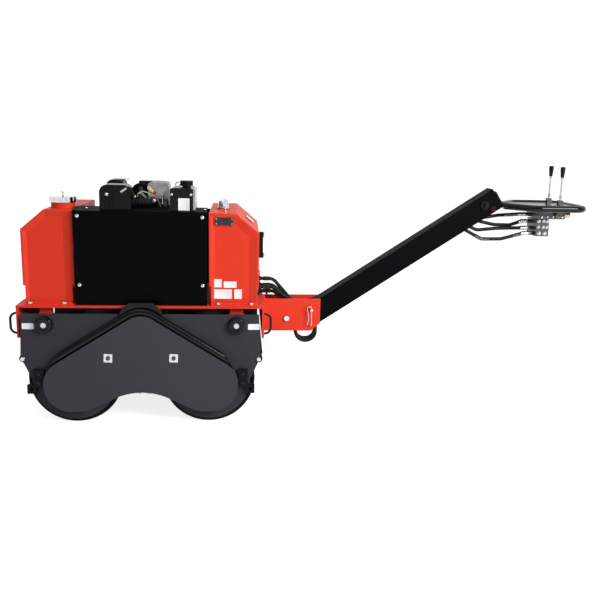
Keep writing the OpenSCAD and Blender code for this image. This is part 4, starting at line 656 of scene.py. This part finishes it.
crank_z, spokes, spoke_r, spoke_lean, spoke_y, spoke_fall = 680, 18, 2.2, 300, 224.4, 250
hub_shape = [(30, 0), (30, 3), (27, 5), (9, 5.6), (0, 5.6)]
cover_screws, screw_ring_r, cover_face_y, hub_y = 6, 104, 223.6, 223.8
cover_screw = {"across": 10, "head": 4, "washer_r": 8, "finish": 1}
recoil_ribs = bmesh.new()
for k in range(spokes):
    t = 2 * math.pi * k / spokes
    spoke = []
    for r in range(34, 102, 4):
        bow = t + r / spoke_lean
        spoke.append(Vector((r * math.cos(bow), spoke_y - r / spoke_fall, crank_z + r * math.sin(bow))))
    swept(recoil_ribs, spoke, lambda run: spoke_r, 8)
turned(recoil_ribs, (0, hub_y, crank_z), (0, 1, 0), hub_shape, 40)
for k in range(cover_screws):
    t = 2 * math.pi * (k + 0.5) / cover_screws
    place = (screw_ring_r * math.cos(t), cover_face_y, crank_z + screw_ring_r * math.sin(t))
    hex_screw(recoil_ribs, place, (0, 1, 0), **cover_screw)
laid("recoil_cover_ribs", recoil_ribs, "root", "black_paint", shroud_black, bright_zinc)


# Intake: a moulded rubber elbow from the air cleaner to the head, a choke arm in front of it,
# a tan return hose and a small fuel filter on its line.
elbow_r, cuff_rise, cuff_pitch, cuff_width = 15.5, 1.6, 15, 4
elbow = bent_line([(-44, -196, 998), (14, -196, 998), (52, -180, 998), (52, -158, 998)], 16, 3)
intake = bmesh.new()
swept(intake, elbow, lambda run: elbow_r + (cuff_rise if run % cuff_pitch < cuff_width else 0.0), 24)
laid("intake_elbow", intake, "root", "rubber", black_rubber)

arm_front = [(-60, -266, 1062), (-48, -266, 1070), (-18, -266, 1026)]
arm_return = [(-18, -266, 1027), (-18, -262, 1020), (-18, -212, 1014)]
arm_link = [(-84, -266.4, 1047), (-58, -266.4, 1064)]
arm_width, arm_thick, link_thick = 9, 3, 3.4
arm_pivot = {"r": 4.4, "head": 2.6, "finish": 1}
choke = bmesh.new()
flat_bar(choke, bent_line(arm_front, 6, 3), (1, 0, 0.7), arm_width, arm_thick)
flat_bar(choke, bent_line(arm_return, 6, 3), (1, 0, 0), arm_width, arm_thick)
flat_bar(choke, bent_line(arm_link, 6, 3), (0.5, 0, -0.9), arm_width, link_thick, 1)
dome_screw(choke, (-22, -267.3, 1029), (0, -1, 0), **arm_pivot)
laid("choke_arm", choke, "root", "black_paint", shroud_black, bright_zinc)

# Extruded fuel hose: tan, matt and a little soiled.
tan_rubber = moulded("tan_fuel_hose", "#C9BE96", 0.5, 1.2, 0.05, 0.4, "#B5AC8A")
# Moulded filter bowl: grey nylon with a low gloss.
grey_plastic = moulded("grey_filter_nylon", "#6E7072", 0.4, 0.8, 0.05, 0.4, "#8A8A88")
fuel_line = [
    (-26, -150, 1020), (-26, -168, 1033), (2, -169, 1046), (27, -169, 1036), (61, -169, 1021),
    (80, -172, 974),
]
line_r, filter_x, filter_y, filter_z = 2.5, 103, -176, 970
filter_shape = [
    (3, -6), (3, 0), (8.6, 1), (9.2, 3), (9.2, 12), (9.8, 13), (9.8, 17), (9.2, 18), (9.2, 34), (8.4, 37),
    (3, 38), (3, 44), (0, 44),
]
clip_shape, clip_heights = [(9.4, 0), (10, 0.6), (10, 2.4), (9.4, 3)], (2, 33)
lines = bmesh.new()
swept(lines, bent_line(fuel_line, 9, 3), lambda run: line_r, 10)
turned(lines, (filter_x, filter_y, filter_z), (0, 0, 1), filter_shape, 28, 1)
for h in clip_heights:
    turned(lines, (filter_x, filter_y, filter_z + h), (0, 0, 1), clip_shape, 28, 2)
laid("fuel_lines", lines, "root", "rubber", tan_rubber, grey_plastic, moulded_black)


# Cylinder head: its cover's ribs and cooling slots, screws and a lifting eye of bent strip and rod.
# The decompression lever is a pressed arm with a cream coat, and its grip is dipped.
rib_y, rib_zs, rib_r, rib_pitch = -158.6, (994, 1016), 1.8, 12
rib_run, rib_tip, rib_end = 22.01, 4, 0.2
slot_y, slot_z, slot_width, slot_height, slot_corner, slot_thick = -154.1, 1005, 7, 26, 2.5, 1.2
raised_middle, raised_width, raised_height, raised_corner, raised_thick = (67, -155.6, 1044), 62, 34, 7, 2.4
drip_rail, rail_width, rail_thick = [(70, -161, 1016), (112, -161, 1015)], 6, 4
head_bolt = {"across": 10, "head": 8, "washer_r": 8}
head_bolt_xs, head_bolt_ys, head_bolt_z = (28, 106), (-140, -46), 989.2
side_bolt = {"across": 12, "head": 5, "washer_r": 8}
flange_screw = {"r": 6.6, "head": 3.4, "washer_r": 8}
head_bits = bmesh.new()
for x in range(32, 104, rib_pitch):
    swept(
        head_bits, bent_line([(x, rib_y, z) for z in rib_zs], 3, 3),
        lambda run: rib_r * min(1, run / rib_tip + rib_end, (rib_run - run) / rib_tip + rib_end), 8, 1,
    )
for x in range(38, 100, rib_pitch):
    label(
        head_bits, (x, slot_y, slot_z), east, high, slot_width, slot_height, slot_corner, slot_thick, 2
    )
label(
    head_bits, raised_middle, east, high, raised_width, raised_height, raised_corner, raised_thick, 1
)
flat_bar(head_bits, bent_line(drip_rail, 3, 3), (0, 0, 1), rail_width, rail_thick, 1)
dome_screw(head_bits, (54, -196, 1007), (0, -1, 0.4), **flange_screw)
hex_screw(head_bits, (121, -152.2, 989), (0, -1, 0), **side_bolt)
for x in head_bolt_xs:
    for y in head_bolt_ys:
        hex_screw(head_bits, (x, y, head_bolt_z), (0, 0, 1), **head_bolt)
lift_x, lift_y, strip_z, eye_z, eye_r, eye_steps = 148, -60, 990.9, 1073, 10, 24
strip_width, strip_thick, rod_r = 18, 3.4, 3.2
strip = [(104, lift_y, strip_z), (lift_x, lift_y, strip_z), (lift_x, lift_y, 1064)]
flat_bar(head_bits, bent_line(strip, 6, 3), (0, 1, 0), strip_width, strip_thick)
turns = [2 * math.pi * t / eye_steps for t in range(eye_steps + 1)]
eye_ring = [Vector((lift_x + eye_r * math.sin(t), lift_y, eye_z - eye_r * math.cos(t))) for t in turns]
swept(head_bits, eye_ring, lambda run: rod_r, 12)
laid("head_screws_and_lifting_eye", head_bits, "root", "zinc", bright_zinc, cast_aluminium, shroud_black)

# Baked enamel: cream and smooth.
cream_enamel = moulded("cream_enamel", "#E6D5A4", 0.34, 2.0, 0.03, 0.45, "#CFC096")
coated(cream_enamel, "decompression_lever")
# Vinyl dip: a soft, thick red skin with a rounded gloss.
red_grip = moulded("red_vinyl_dip", "#B01824", 0.34, 1.6, 0.05, 0.5, "#B0444A")
lean = math.radians(43)
along = Vector((math.cos(lean), 0, -math.sin(lean)))
square_to = (math.sin(lean), 0, math.cos(lean))
arm_start, arm_front_y = Vector((26, -157, 1062)), Vector((0, -3.1, 0))
rivet_shape, rivets_at = [(2.8, 0), (2.8, 0.6), (1.6, 0.9), (1.6, 0.2), (0, 0.2)], (1, 17)
dipped_at, dip_width, dip_thick = (28, 29, 34, 42, 43.6), 15, 8.4
tip = bmesh.new()
flat_bar(tip, [arm_start + along * s for s in dipped_at], square_to, dip_width, dip_thick)
for s in rivets_at:
    turned(tip, arm_start + along * s + arm_front_y, (0, -1, 0), rivet_shape, 20, 1)
laid("decompression_lever_grip", tip, "decompression_lever", "red_plastic", red_grip, machined)


# Muffler: a pressed steel can with a louvred guard on its top, heat-stained by the exhaust.
# Heat-stained steel: dark brown-grey in patches, with no shine.
burnt_steel = plated("heat_stained_steel", "#2A2827", 0.45, 22, 0.05, "#352D27", 0.8)
coated(burnt_steel, "muffler")
# Nickel-plated sheet: bright and slightly warm, with soft reflections.
nickel = plated("nickel_plated_sheet", "#B9B7B2", 0.22, 14, 0.02, "#9A958C")
guard_x, guard_y, guard_z = -132, 119, 1082.1
louvre_z, louvre_half, louvre_r, louvre_foot, louvre_taper = 1083.0, 20, 1.8, 0.3, 6
louvre_run = 2 * louvre_half + 0.01
guard_screw_x, guard_screw_y, guard_screw_z = 25, 26, 1083.2
guard_screw = {"r": 3, "head": 1.6, "washer_r": 4}
guard_width, guard_depth, guard_corner, guard_thick = 58, 60, 8, 1.2
guard = bmesh.new()
label(
    guard, (guard_x, guard_y, guard_z), (1, 0, 0), (0, 1, 0),
    guard_width, guard_depth, guard_corner, guard_thick,
)


def louvre_rise(run):
    """How far a louvre's round back stands up along its run, with tapered ends."""
    return louvre_r * min(1, run / louvre_taper, (louvre_run - run) / louvre_taper) + louvre_foot


for y in range(98, 144, 14):
    ends = [(x, y, louvre_z) for x in (guard_x - louvre_half, guard_x + louvre_half)]
    swept(guard, bent_line(ends, 5, 4), louvre_rise, 10)
for x in (guard_x - guard_screw_x, guard_x + guard_screw_x):
    for y in (guard_y - guard_screw_y, guard_y + guard_screw_y):
        dome_screw(guard, (x, y, guard_screw_z), (0, 0, 1), **guard_screw)
laid("muffler_guard", guard, "root", "steel", nickel)


# Fuel tank: two pressed halves seamed round their middle, enamelled black, with a ribbed plastic cap.
# It carries a blank white sticker, and a plain sheet stands between it and the exhaust side.
coated(gloss_black, "fuel_tank")
coated(moulded_black, "fuel_cap", "travel_knob", "vibration_knob", "key_switch", "level_gauge")
coated(nickel, "engine_pipes")
seam_z, seam_r, seam_bend = 1050, 2.4, 14
seam_screw, seam_screw_xs = {"r": 4.2, "head": 2.6, "washer_r": 5.4, "finish": 1}, (137, 221)
seam_corners = ((180, -262), (230, -262), (230, -72), (129, -72), (129, -262), (181, -262))
seam = bmesh.new()
swept(seam, bent_line([(x, y, seam_z) for x, y in seam_corners], seam_bend, 4), lambda run: seam_r, 10)
for x in seam_screw_xs:
    dome_screw(seam, (x, -262.2, 1040), (0, -1, 0), **seam_screw)
laid("fuel_tank_seam", seam, "root", "black_paint", gloss_black, bright_zinc)
film_middle, film_width, film_height, film_corner = (190, -262.1, 997), 50, 54, 3
tank_sticker = bmesh.new()
label(tank_sticker, film_middle, east, high, film_width, film_height, film_corner)
laid("fuel_tank_sticker", tank_sticker, "root", "nylon", white_vinyl)


# Tank fittings: chromed filler cap and breather, a sight gauge behind its window, two drain plugs.
# Chrome over polished steel mirrors the room, with hairline wiping marks.
chrome = plated("chromed_steel", "#D4D6D9", 0.08, 30, 0.008, "#CFD2D6")
coated(chrome, "water_cap", "breather_cap")
# Clear moulded acrylic with hydraulic oil behind it: amber up to the oil's level, pale above it.
oil_level_mm, meniscus_mm, haze_mm = 803, 3, 8
oil_glass = blank("oil_behind_acrylic")
place = add(oil_glass, "ShaderNodeTexCoord").outputs["Object"]
depth = add(oil_glass, "ShaderNodeSeparateXYZ", {}, {0: place})
level_line = add(
    oil_glass, "ShaderNodeMapRange",
    {"From Min": oil_level_mm / 1000, "From Max": (oil_level_mm + meniscus_mm) / 1000},
    {"Value": depth.outputs["Z"]},
)
haze = add(oil_glass, "ShaderNodeTexNoise", {"Scale": 1000 / haze_mm, "Detail": 3.0}, {"Vector": place})
fill = add(
    oil_glass, "ShaderNodeMix", {"data_type": "RGBA", 6: linear("#A8761C"), 7: linear("#C9C7BC")},
    {0: level_line.outputs[0]},
)
haze_gloss = add(
    oil_glass, "ShaderNodeMapRange", {"To Min": 0.04, "To Max": 0.14}, {"Value": haze.outputs["Fac"]}
)
acrylic = add(
    oil_glass, "ShaderNodeBsdfPrincipled", {"IOR": 1.49, "Coat Weight": 0.6},
    {"Base Color": fill.outputs[2], "Roughness": haze_gloss.outputs[0]},
)
add(oil_glass, "ShaderNodeOutputMaterial", {}, {"Surface": acrylic.outputs[0]})
gauge_x, gauge_y, gauge_half, gauge_front_x = 537, -100, 10.2, 549.2
window_r, window_zs, cheek_zs, cheek_width, cheek_thick = 7.6, (763, 835), (758, 840), 20, 1.8
gauge_bolt, gauge_bolt_zs = {"across": 13, "head": 5, "washer_r": 9, "finish": 1}, (750, 848)
gauge = bmesh.new()
swept(gauge, bent_line([(gauge_x, gauge_y, z) for z in window_zs], 3, 6), lambda run: window_r, 20)
for y in (gauge_y - gauge_half, gauge_y + gauge_half):
    cheek = bent_line([(gauge_x, y, z) for z in cheek_zs], 3, 6)
    flat_bar(gauge, cheek, (1, 0, 0), cheek_width, cheek_thick, 2)
for z in gauge_bolt_zs:
    hex_screw(gauge, (gauge_front_x, gauge_y, z), (1, 0, 0), **gauge_bolt)
laid("gauge_window", gauge, "root", "black_plastic", oil_glass, bright_zinc, moulded_black)

drain_z, drain_plug = 660, {"across": 19, "head": 9, "washer_r": 14}
plugs = bmesh.new()
for x, way in ((525.2, 1), (-522.2, -1)):
    hex_screw(plugs, (x, gauge_y, drain_z), (way, 0, 0), **drain_plug)
laid("tank_drain_plugs", plugs, "root", "zinc", bright_zinc)


# Hoses: four wire-braided hoses run from the bulkhead through the hitch and up in the beam to the valve.
# Their rubber cover is cured in a cloth wrap; crimped steel ferrules and spring guards sit on their
# ends, where they would chafe.
# Cloth-wrapped rubber: near black and dull, with the ridges that the wrap leaves.
ridge_mm = 6.0  # the wrap's real ridges are 1.5 mm apart; drawn coarser so that they show
wave_m = 0.314  # the spacing of the wave texture's bands at a scale of 1
scuff_mm, ridge_depth_mm = 20, 0.25
hose_rubber = blank("cloth_wrapped_hose_rubber")
sheet = add(hose_rubber, "ShaderNodeTexCoord")
wrap = add(
    hose_rubber, "ShaderNodeTexWave",
    {
        "wave_type": "BANDS", "bands_direction": "X",
        "Scale": wave_m * 1000 / ridge_mm, "Distortion": 1.2,
    },
    {"Vector": sheet.outputs["UV"]},
)
scuff = add(
    hose_rubber, "ShaderNodeTexNoise", {"Scale": 1000 / scuff_mm, "Detail": 5.0},
    {"Vector": sheet.outputs["Object"]},
)
hue = add(
    hose_rubber, "ShaderNodeMix", {"data_type": "RGBA", 6: linear("#0D0D0E"), 7: linear("#1E1E20")},
    {0: scuff.outputs["Fac"]},
)
rubber_skin = {"IOR": 1.5, "Specular IOR Level": 0.14}
rubber_dulled = (scuff.outputs["Fac"], {"To Min": 0.36, "To Max": 0.56})
rubber_raised = (wrap.outputs["Fac"], 0.5, ridge_depth_mm)
surfaced(hose_rubber, rubber_skin, hue.outputs[2], rubber_dulled, rubber_raised)
# Blackened steel: the fittings at the bulkhead, nearly black with a dull metal sheen.
blackened = plated("blackened_steel", "#343436", 0.34, 8, 0.02, "#232324")
coated(blackened, "hose_fittings")
# Drawn spring wire: bright grey, each turn with its own highlight.
spring_steel = plated("spring_steel_wire", "#B4B6B8", 0.25, 8, 0.01, "#8F9092")

hose_r, hose_bend, hose_step = 8.5, 46, 6
hose_ys = (-27, -9, 9, 27)
knee_x, knee_z, beam_slope = 812.0, 458.0, math.radians(33.4)


def ferrule(bm, line, length):
    """A crimped ferrule on the last stretch of a hose, with its pressed grooves."""
    wall, groove_depth, groove_pitch, land = 2.2, 0.9, 8.0, 5.5
    run, stretch = 0.0, [line[-1]]
    for here, before in zip(line[::-1], line[-2::-1]):
        run += (here - before).length
        stretch.append(before)
        if run >= length:
            break
    stretch.reverse()
    outer = hose_r + wall
    swept(bm, stretch, lambda run: outer - (groove_depth if run % groove_pitch > land else 0.0), 20, 1)


def wound(bm, line, r, pitch, wire, finish):
    """A spring guard: wire wound on a stretch of a hose, in millimetres."""
    steps_a_turn = 12
    coil, run, side = [], 0.0, None
    fine = bent_line([tuple(p) for p in line], 0.5, pitch / steps_a_turn)
    for i, here in enumerate(fine):
        ahead = heading(fine, i)
        side = carried(side, ahead)
        over = ahead.cross(side)
        run += (here - fine[i - 1]).length if i else 0.0
        turn = 2 * math.pi * run / pitch
        coil.append(here + (side * math.cos(turn) + over * math.sin(turn)) * (r + wire / 2))
    swept(bm, coil, lambda run: wire / 2, 6, finish)


hitch_ferrule, head_ferrule = 30, 36
hoses = bmesh.new()
for y, z in zip(hose_ys, (583, 621, 556, 583)):
    route = [(546, y, z), (600, y, z), (715, y, 490), (715, y, 313), (813, y, 313), (813, y, 400)]
    line = bent_line(route, hose_bend, hose_step)
    swept(hoses, line, lambda run: hose_r, 20)
    ferrule(hoses, line[::-1][:-1], hitch_ferrule)
hitch_hoses = laid("hitch_hoses_braided", hoses, None, "hose_rubber", hose_rubber, blackened)
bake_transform(hitch_hoses)
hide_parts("hitch_hoses")

turn_xs = (1485, 1505, 1530, 1545)
lows = ((1620, 830), (1600, 872), (1690, 898), (1640, 930))
mids = ((1720, 832), (1700, 882), (1770, 897), (1715, 943))
port_zs = (862, 886, 918, 950)
guarded = (((1590, 1660), (1775, 1828)), (), (), ((1740, 1828),))
guard_pitch, guard_wire = 7, 2.2
hoses = bmesh.new()
for i, y in enumerate(hose_ys):
    turn_z = knee_z + (turn_xs[i] - knee_x) * math.tan(beam_slope)
    route = [(813, y, 400.3), (813, y, 458.66), (turn_xs[i], y, turn_z), (lows[i][0], y, lows[i][1])]
    route += [(mids[i][0], y, mids[i][1]), (1831.58, y, port_zs[i]), (1853.58, y, port_zs[i])]
    line = bent_line(route, hose_bend, hose_step)
    swept(hoses, line, lambda run: hose_r, 20)
    ferrule(hoses, line, head_ferrule)
    for near_x, far_x in guarded[i]:
        wound(hoses, [p for p in line if near_x <= p.x <= far_x], hose_r, guard_pitch, guard_wire, 1)
head_hoses = laid("head_hoses_braided", hoses, "handle", "hose_rubber", hose_rubber, spring_steel)
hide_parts("head_hoses")


# Steering beam: a welded box of sheet steel, with a key switch in a knurled ring near its top end.
# Beside the switch is a stop button in a plain ring.
# Enamel sprayed on the box: a dry black with hardly any reflection.
beam_black = powder_coat("beam_enamel", "#08080A", 0.5, 2.0, 0.05, "#1C1C1F", 0.03)
coated(beam_black, "handle_beam")
# Moulded acetal: a deep, dark red.
red_plastic = moulded("red_acetal", "#34070A", 0.36, 1.0, 0.02, 0.1, "#3A1012")
coated(red_plastic, "stop_button")
switch_x, switch_z, beam_side_y, ring_r, teeth = 1621.8, 995.6, -50.1, 22, 24
button_x, button_z, tooth_r, tooth_at = 1662, 980.1, 1.1, (0, 1.6, 3)
switch_ring = [(21.6, 0), (ring_r, 1), (ring_r, 3), (20.8, 4.2), (18.4, 4.2), (17.4, 3)]
button_ring = [(14.4, 0), (14.8, 1), (13.4, 2.2), (11, 2.2), (10.8, 1)]
bezel = bmesh.new()
turned(bezel, (switch_x, beam_side_y, switch_z), (0, -1, 0), switch_ring, 48)
for k in range(teeth):
    t = 2 * math.pi * k / teeth
    x, z = switch_x + ring_r * math.cos(t), switch_z + ring_r * math.sin(t)
    tooth = [Vector((x, beam_side_y - 0.2 - h, z)) for h in tooth_at]
    swept(bezel, tooth, lambda run: tooth_r, 6)
turned(bezel, (button_x, beam_side_y, button_z), (0, -1, 0), button_ring, 36)
laid("switch_bezels", bezel, "handle", "black_plastic", moulded_black)


# Control levers: zinc-plated rods with lock nuts, each with a tapered grip moulded on its end.
# The grips flare to a domed top and show the parting ring of their mould.
lever_x, lever_y, grip_z, nut_zs = 1984.6, 70, 1136, (1036, 1045, 1127)
grip_shape = [
    (4.6, 0), (7.2, 0.6), (8, 2.4), (8.6, 8), (9.6, 20), (10.6, 32), (10.9, 33), (11.2, 38), (11.5, 46),
    (11.1, 49.5), (9.2, 51.4), (5, 51.9), (0, 52),
]
nut_shape = [(6.4, 0), (7.5, 0.8), (7.5, 5.6), (6.4, 6.4)]
for body, y in (("travel_lever", -lever_y), ("vibration_lever", lever_y)):
    grip = bmesh.new()
    turned(grip, (lever_x, y, grip_z), (0, 0, 1), grip_shape, 32)
    grip = laid(body + "_grip", grip, body, "black_plastic", moulded_black)
    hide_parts(body.replace("lever", "knob"))
    nuts = bmesh.new()
    for z in nut_zs:
        turned(nuts, (lever_x, y, z), (0, 0, 1), nut_shape, 6)
    laid(body + "_nuts", nuts, body, "zinc", bright_zinc)


# Valve: a steel block with plugs and ports; its relief valve is passivated and capped in brass.
# Plugs and the hose ends' nuts are bright zinc, so this corner sparkles under the dark frame.
# Phosphated steel: dark grey and stained, with a low metal sheen.
phosphated = plated("phosphated_steel", "#5A5A5C", 0.36, 7, 0.04, "#3C3B3A", 0.8)
coated(phosphated, "valve_block")
# Passivated steel: beige silver.
yellow_zinc = plated("yellow_passivated_steel", "#B7A79A", 0.3, 9, 0.02, "#A3947C")
# Turned brass: dulled and dark in its corners.
brass = plated("turned_brass", "#857A5C", 0.22, 7, 0.02, "#6A6148")
relief_z, port_face_y, plug_face_y = 959, -60.1, -85.1
upper_plug = {"across": 13, "head": 6, "washer_r": 9, "finish": 2}
middle_plug = {"across": 11, "head": 5, "washer_r": 8, "finish": 2}
lower_plug = {"across": 15, "head": 9, "washer_r": 10, "finish": 2}
body_screw = {"across": 9, "head": 5, "finish": 2}
rear_plug = {"across": 16, "head": 12, "washer_r": 10, "finish": 2}
relief_shape = [
    (15.2, 0), (15.8, 1), (15.8, 6), (15.2, 7), (15.2, 10), (15.8, 11), (15.8, 22), (14.6, 26), (8, 26.4),
    (0, 26.4),
]
cap_shape = [(13.2, 0), (13.6, 1), (13.6, 20), (12.4, 24.2), (8.4, 24.4), (8, 22.8), (0, 22.8)]
valve_bits = bmesh.new()
turned(valve_bits, (2009.8, -70, relief_z), (1, 0, 0), relief_shape, 36)
turned(valve_bits, (1968.6, plug_face_y - 0.1, relief_z), (0, -1, 0), cap_shape, 36, 1)
for x in (1892, 1916, 1934):
    hex_screw(valve_bits, (x, port_face_y, 925), (0, -1, 0), **upper_plug)
    hex_screw(valve_bits, (x, port_face_y, 896), (0, -1, 0), **middle_plug)
for x in (1896, 1924):
    hex_screw(valve_bits, (x, port_face_y, 866), (0, -1, 0), **lower_plug)
for x in (1894, 1922, 1950, 1996):
    hex_screw(valve_bits, (x, plug_face_y, 948), (0, -1, 0), **body_screw)
for y in (-27, 9):
    hex_screw(valve_bits, (1943.7, y, 884), (1, 0, 0), **rear_plug)
laid("valve_plugs", valve_bits, "handle", "zinc", yellow_zinc, brass, bright_zinc)


# Studio: a pale floor that keeps the machine's shadow, in a room that is white where it is seen.
# One soft lamp stands to the right of the camera and a weak one hangs above.
near_m, far_m, floor_light, room_light = -30, 60, 0.83, 0.32
floor_corners = [(near_m, near_m, 0), (-near_m, near_m, 0), (-near_m, far_m, 0), (near_m, far_m, 0)]
floor_mesh = bpy.data.meshes.new("studio_floor")
floor_mesh.from_pydata(floor_corners, [], [(0, 1, 2, 3)])
floor = bpy.data.objects.new("studio_floor", floor_mesh)
bpy.context.scene.collection.objects.link(floor)


def seen_directly(mat):
    """1 for rays that show the studio itself, straight or in metal and glass, and 0 for those that light."""
    rays = add(mat, "ShaderNodeLightPath")
    seen = rays.outputs["Is Camera Ray"]
    for other in ("Is Glossy Ray", "Is Transmission Ray"):
        both = add(mat, "ShaderNodeMath", {"operation": "MAXIMUM"}, {0: seen, 1: rays.outputs[other]})
        seen = both.outputs[0]
    return seen


# Matt paper: pale grey, lit a little from itself so that the horizon is white.
paper = blank("studio_paper")
lift = add(paper, "ShaderNodeMath", {"operation": "MULTIPLY", 1: floor_light}, {0: seen_directly(paper)})
matte = add(paper, "ShaderNodeBsdfDiffuse", {"Color": linear("#E4E4E4")})
glow = add(paper, "ShaderNodeEmission", {"Color": linear("#FFFFFF")}, {"Strength": lift.outputs[0]})
lit = add(paper, "ShaderNodeAddShader", {}, {0: matte.outputs[0], 1: glow.outputs[0]})
add(paper, "ShaderNodeOutputMaterial", {}, {"Surface": lit.outputs[0]})
floor_mesh.materials.append(paper)

room = bpy.data.worlds.new("studio_room")
bpy.context.scene.world = room
room.use_nodes = True
room.node_tree.nodes.clear()
# the near side of the room is dark to well above the horizon, which keeps blacks black in their gloss
where = add(room, "ShaderNodeSeparateXYZ", {}, {0: add(room, "ShaderNodeTexCoord").outputs["Generated"]})
ahead = add(
    room, "ShaderNodeMapRange", {"From Min": 0.0, "From Max": -0.45, "To Max": 1.0},
    {"Value": where.outputs["Y"]},
)
low = add(
    room, "ShaderNodeMapRange", {"From Min": 0.85, "From Max": 0.5, "To Max": 1.0},
    {"Value": where.outputs["Z"]},
)
dark = add(room, "ShaderNodeMath", {"operation": "MULTIPLY"}, {0: ahead.outputs[0], 1: low.outputs[0]})
rays = add(room, "ShaderNodeLightPath")
dark = add(
    room, "ShaderNodeMath", {"operation": "MULTIPLY"}, {0: dark.outputs[0], 1: rays.outputs["Is Glossy Ray"]}
)
seen = add(room, "ShaderNodeMath", {"operation": "SUBTRACT"}, {0: seen_directly(room), 1: dark.outputs[0]})
level = add(room, "ShaderNodeMapRange", {"To Min": room_light, "To Max": 1.0}, {"Value": seen.outputs[0]})
sky = add(room, "ShaderNodeBackground", {"Color": linear("#FFFFFF")}, {"Strength": level.outputs[0]})
add(room, "ShaderNodeOutputWorld", {}, {"Surface": sky.outputs[0]})


def soft_box(name, place, aim, size, watts):
    """A square studio lamp that faces its aim."""
    lamp = bpy.data.lights.new(name, "AREA")
    lamp.shape = "SQUARE"
    lamp.size = size
    lamp.energy = watts
    made = bpy.data.objects.new(name, lamp)
    made.location = place
    made.rotation_euler = (aim - place).to_track_quat("-Z", "Y").to_euler()
    bpy.context.scene.collection.objects.link(made)


soft_box("key_lamp", at(3200, -2900, 2500), at(300, 0, 500), 1.6, 178)
soft_box("top_lamp", at(-400, -900, 3600), at(200, 0, 600), 2.4, 12)

bpy.context.scene.view_settings.view_transform = "Standard"
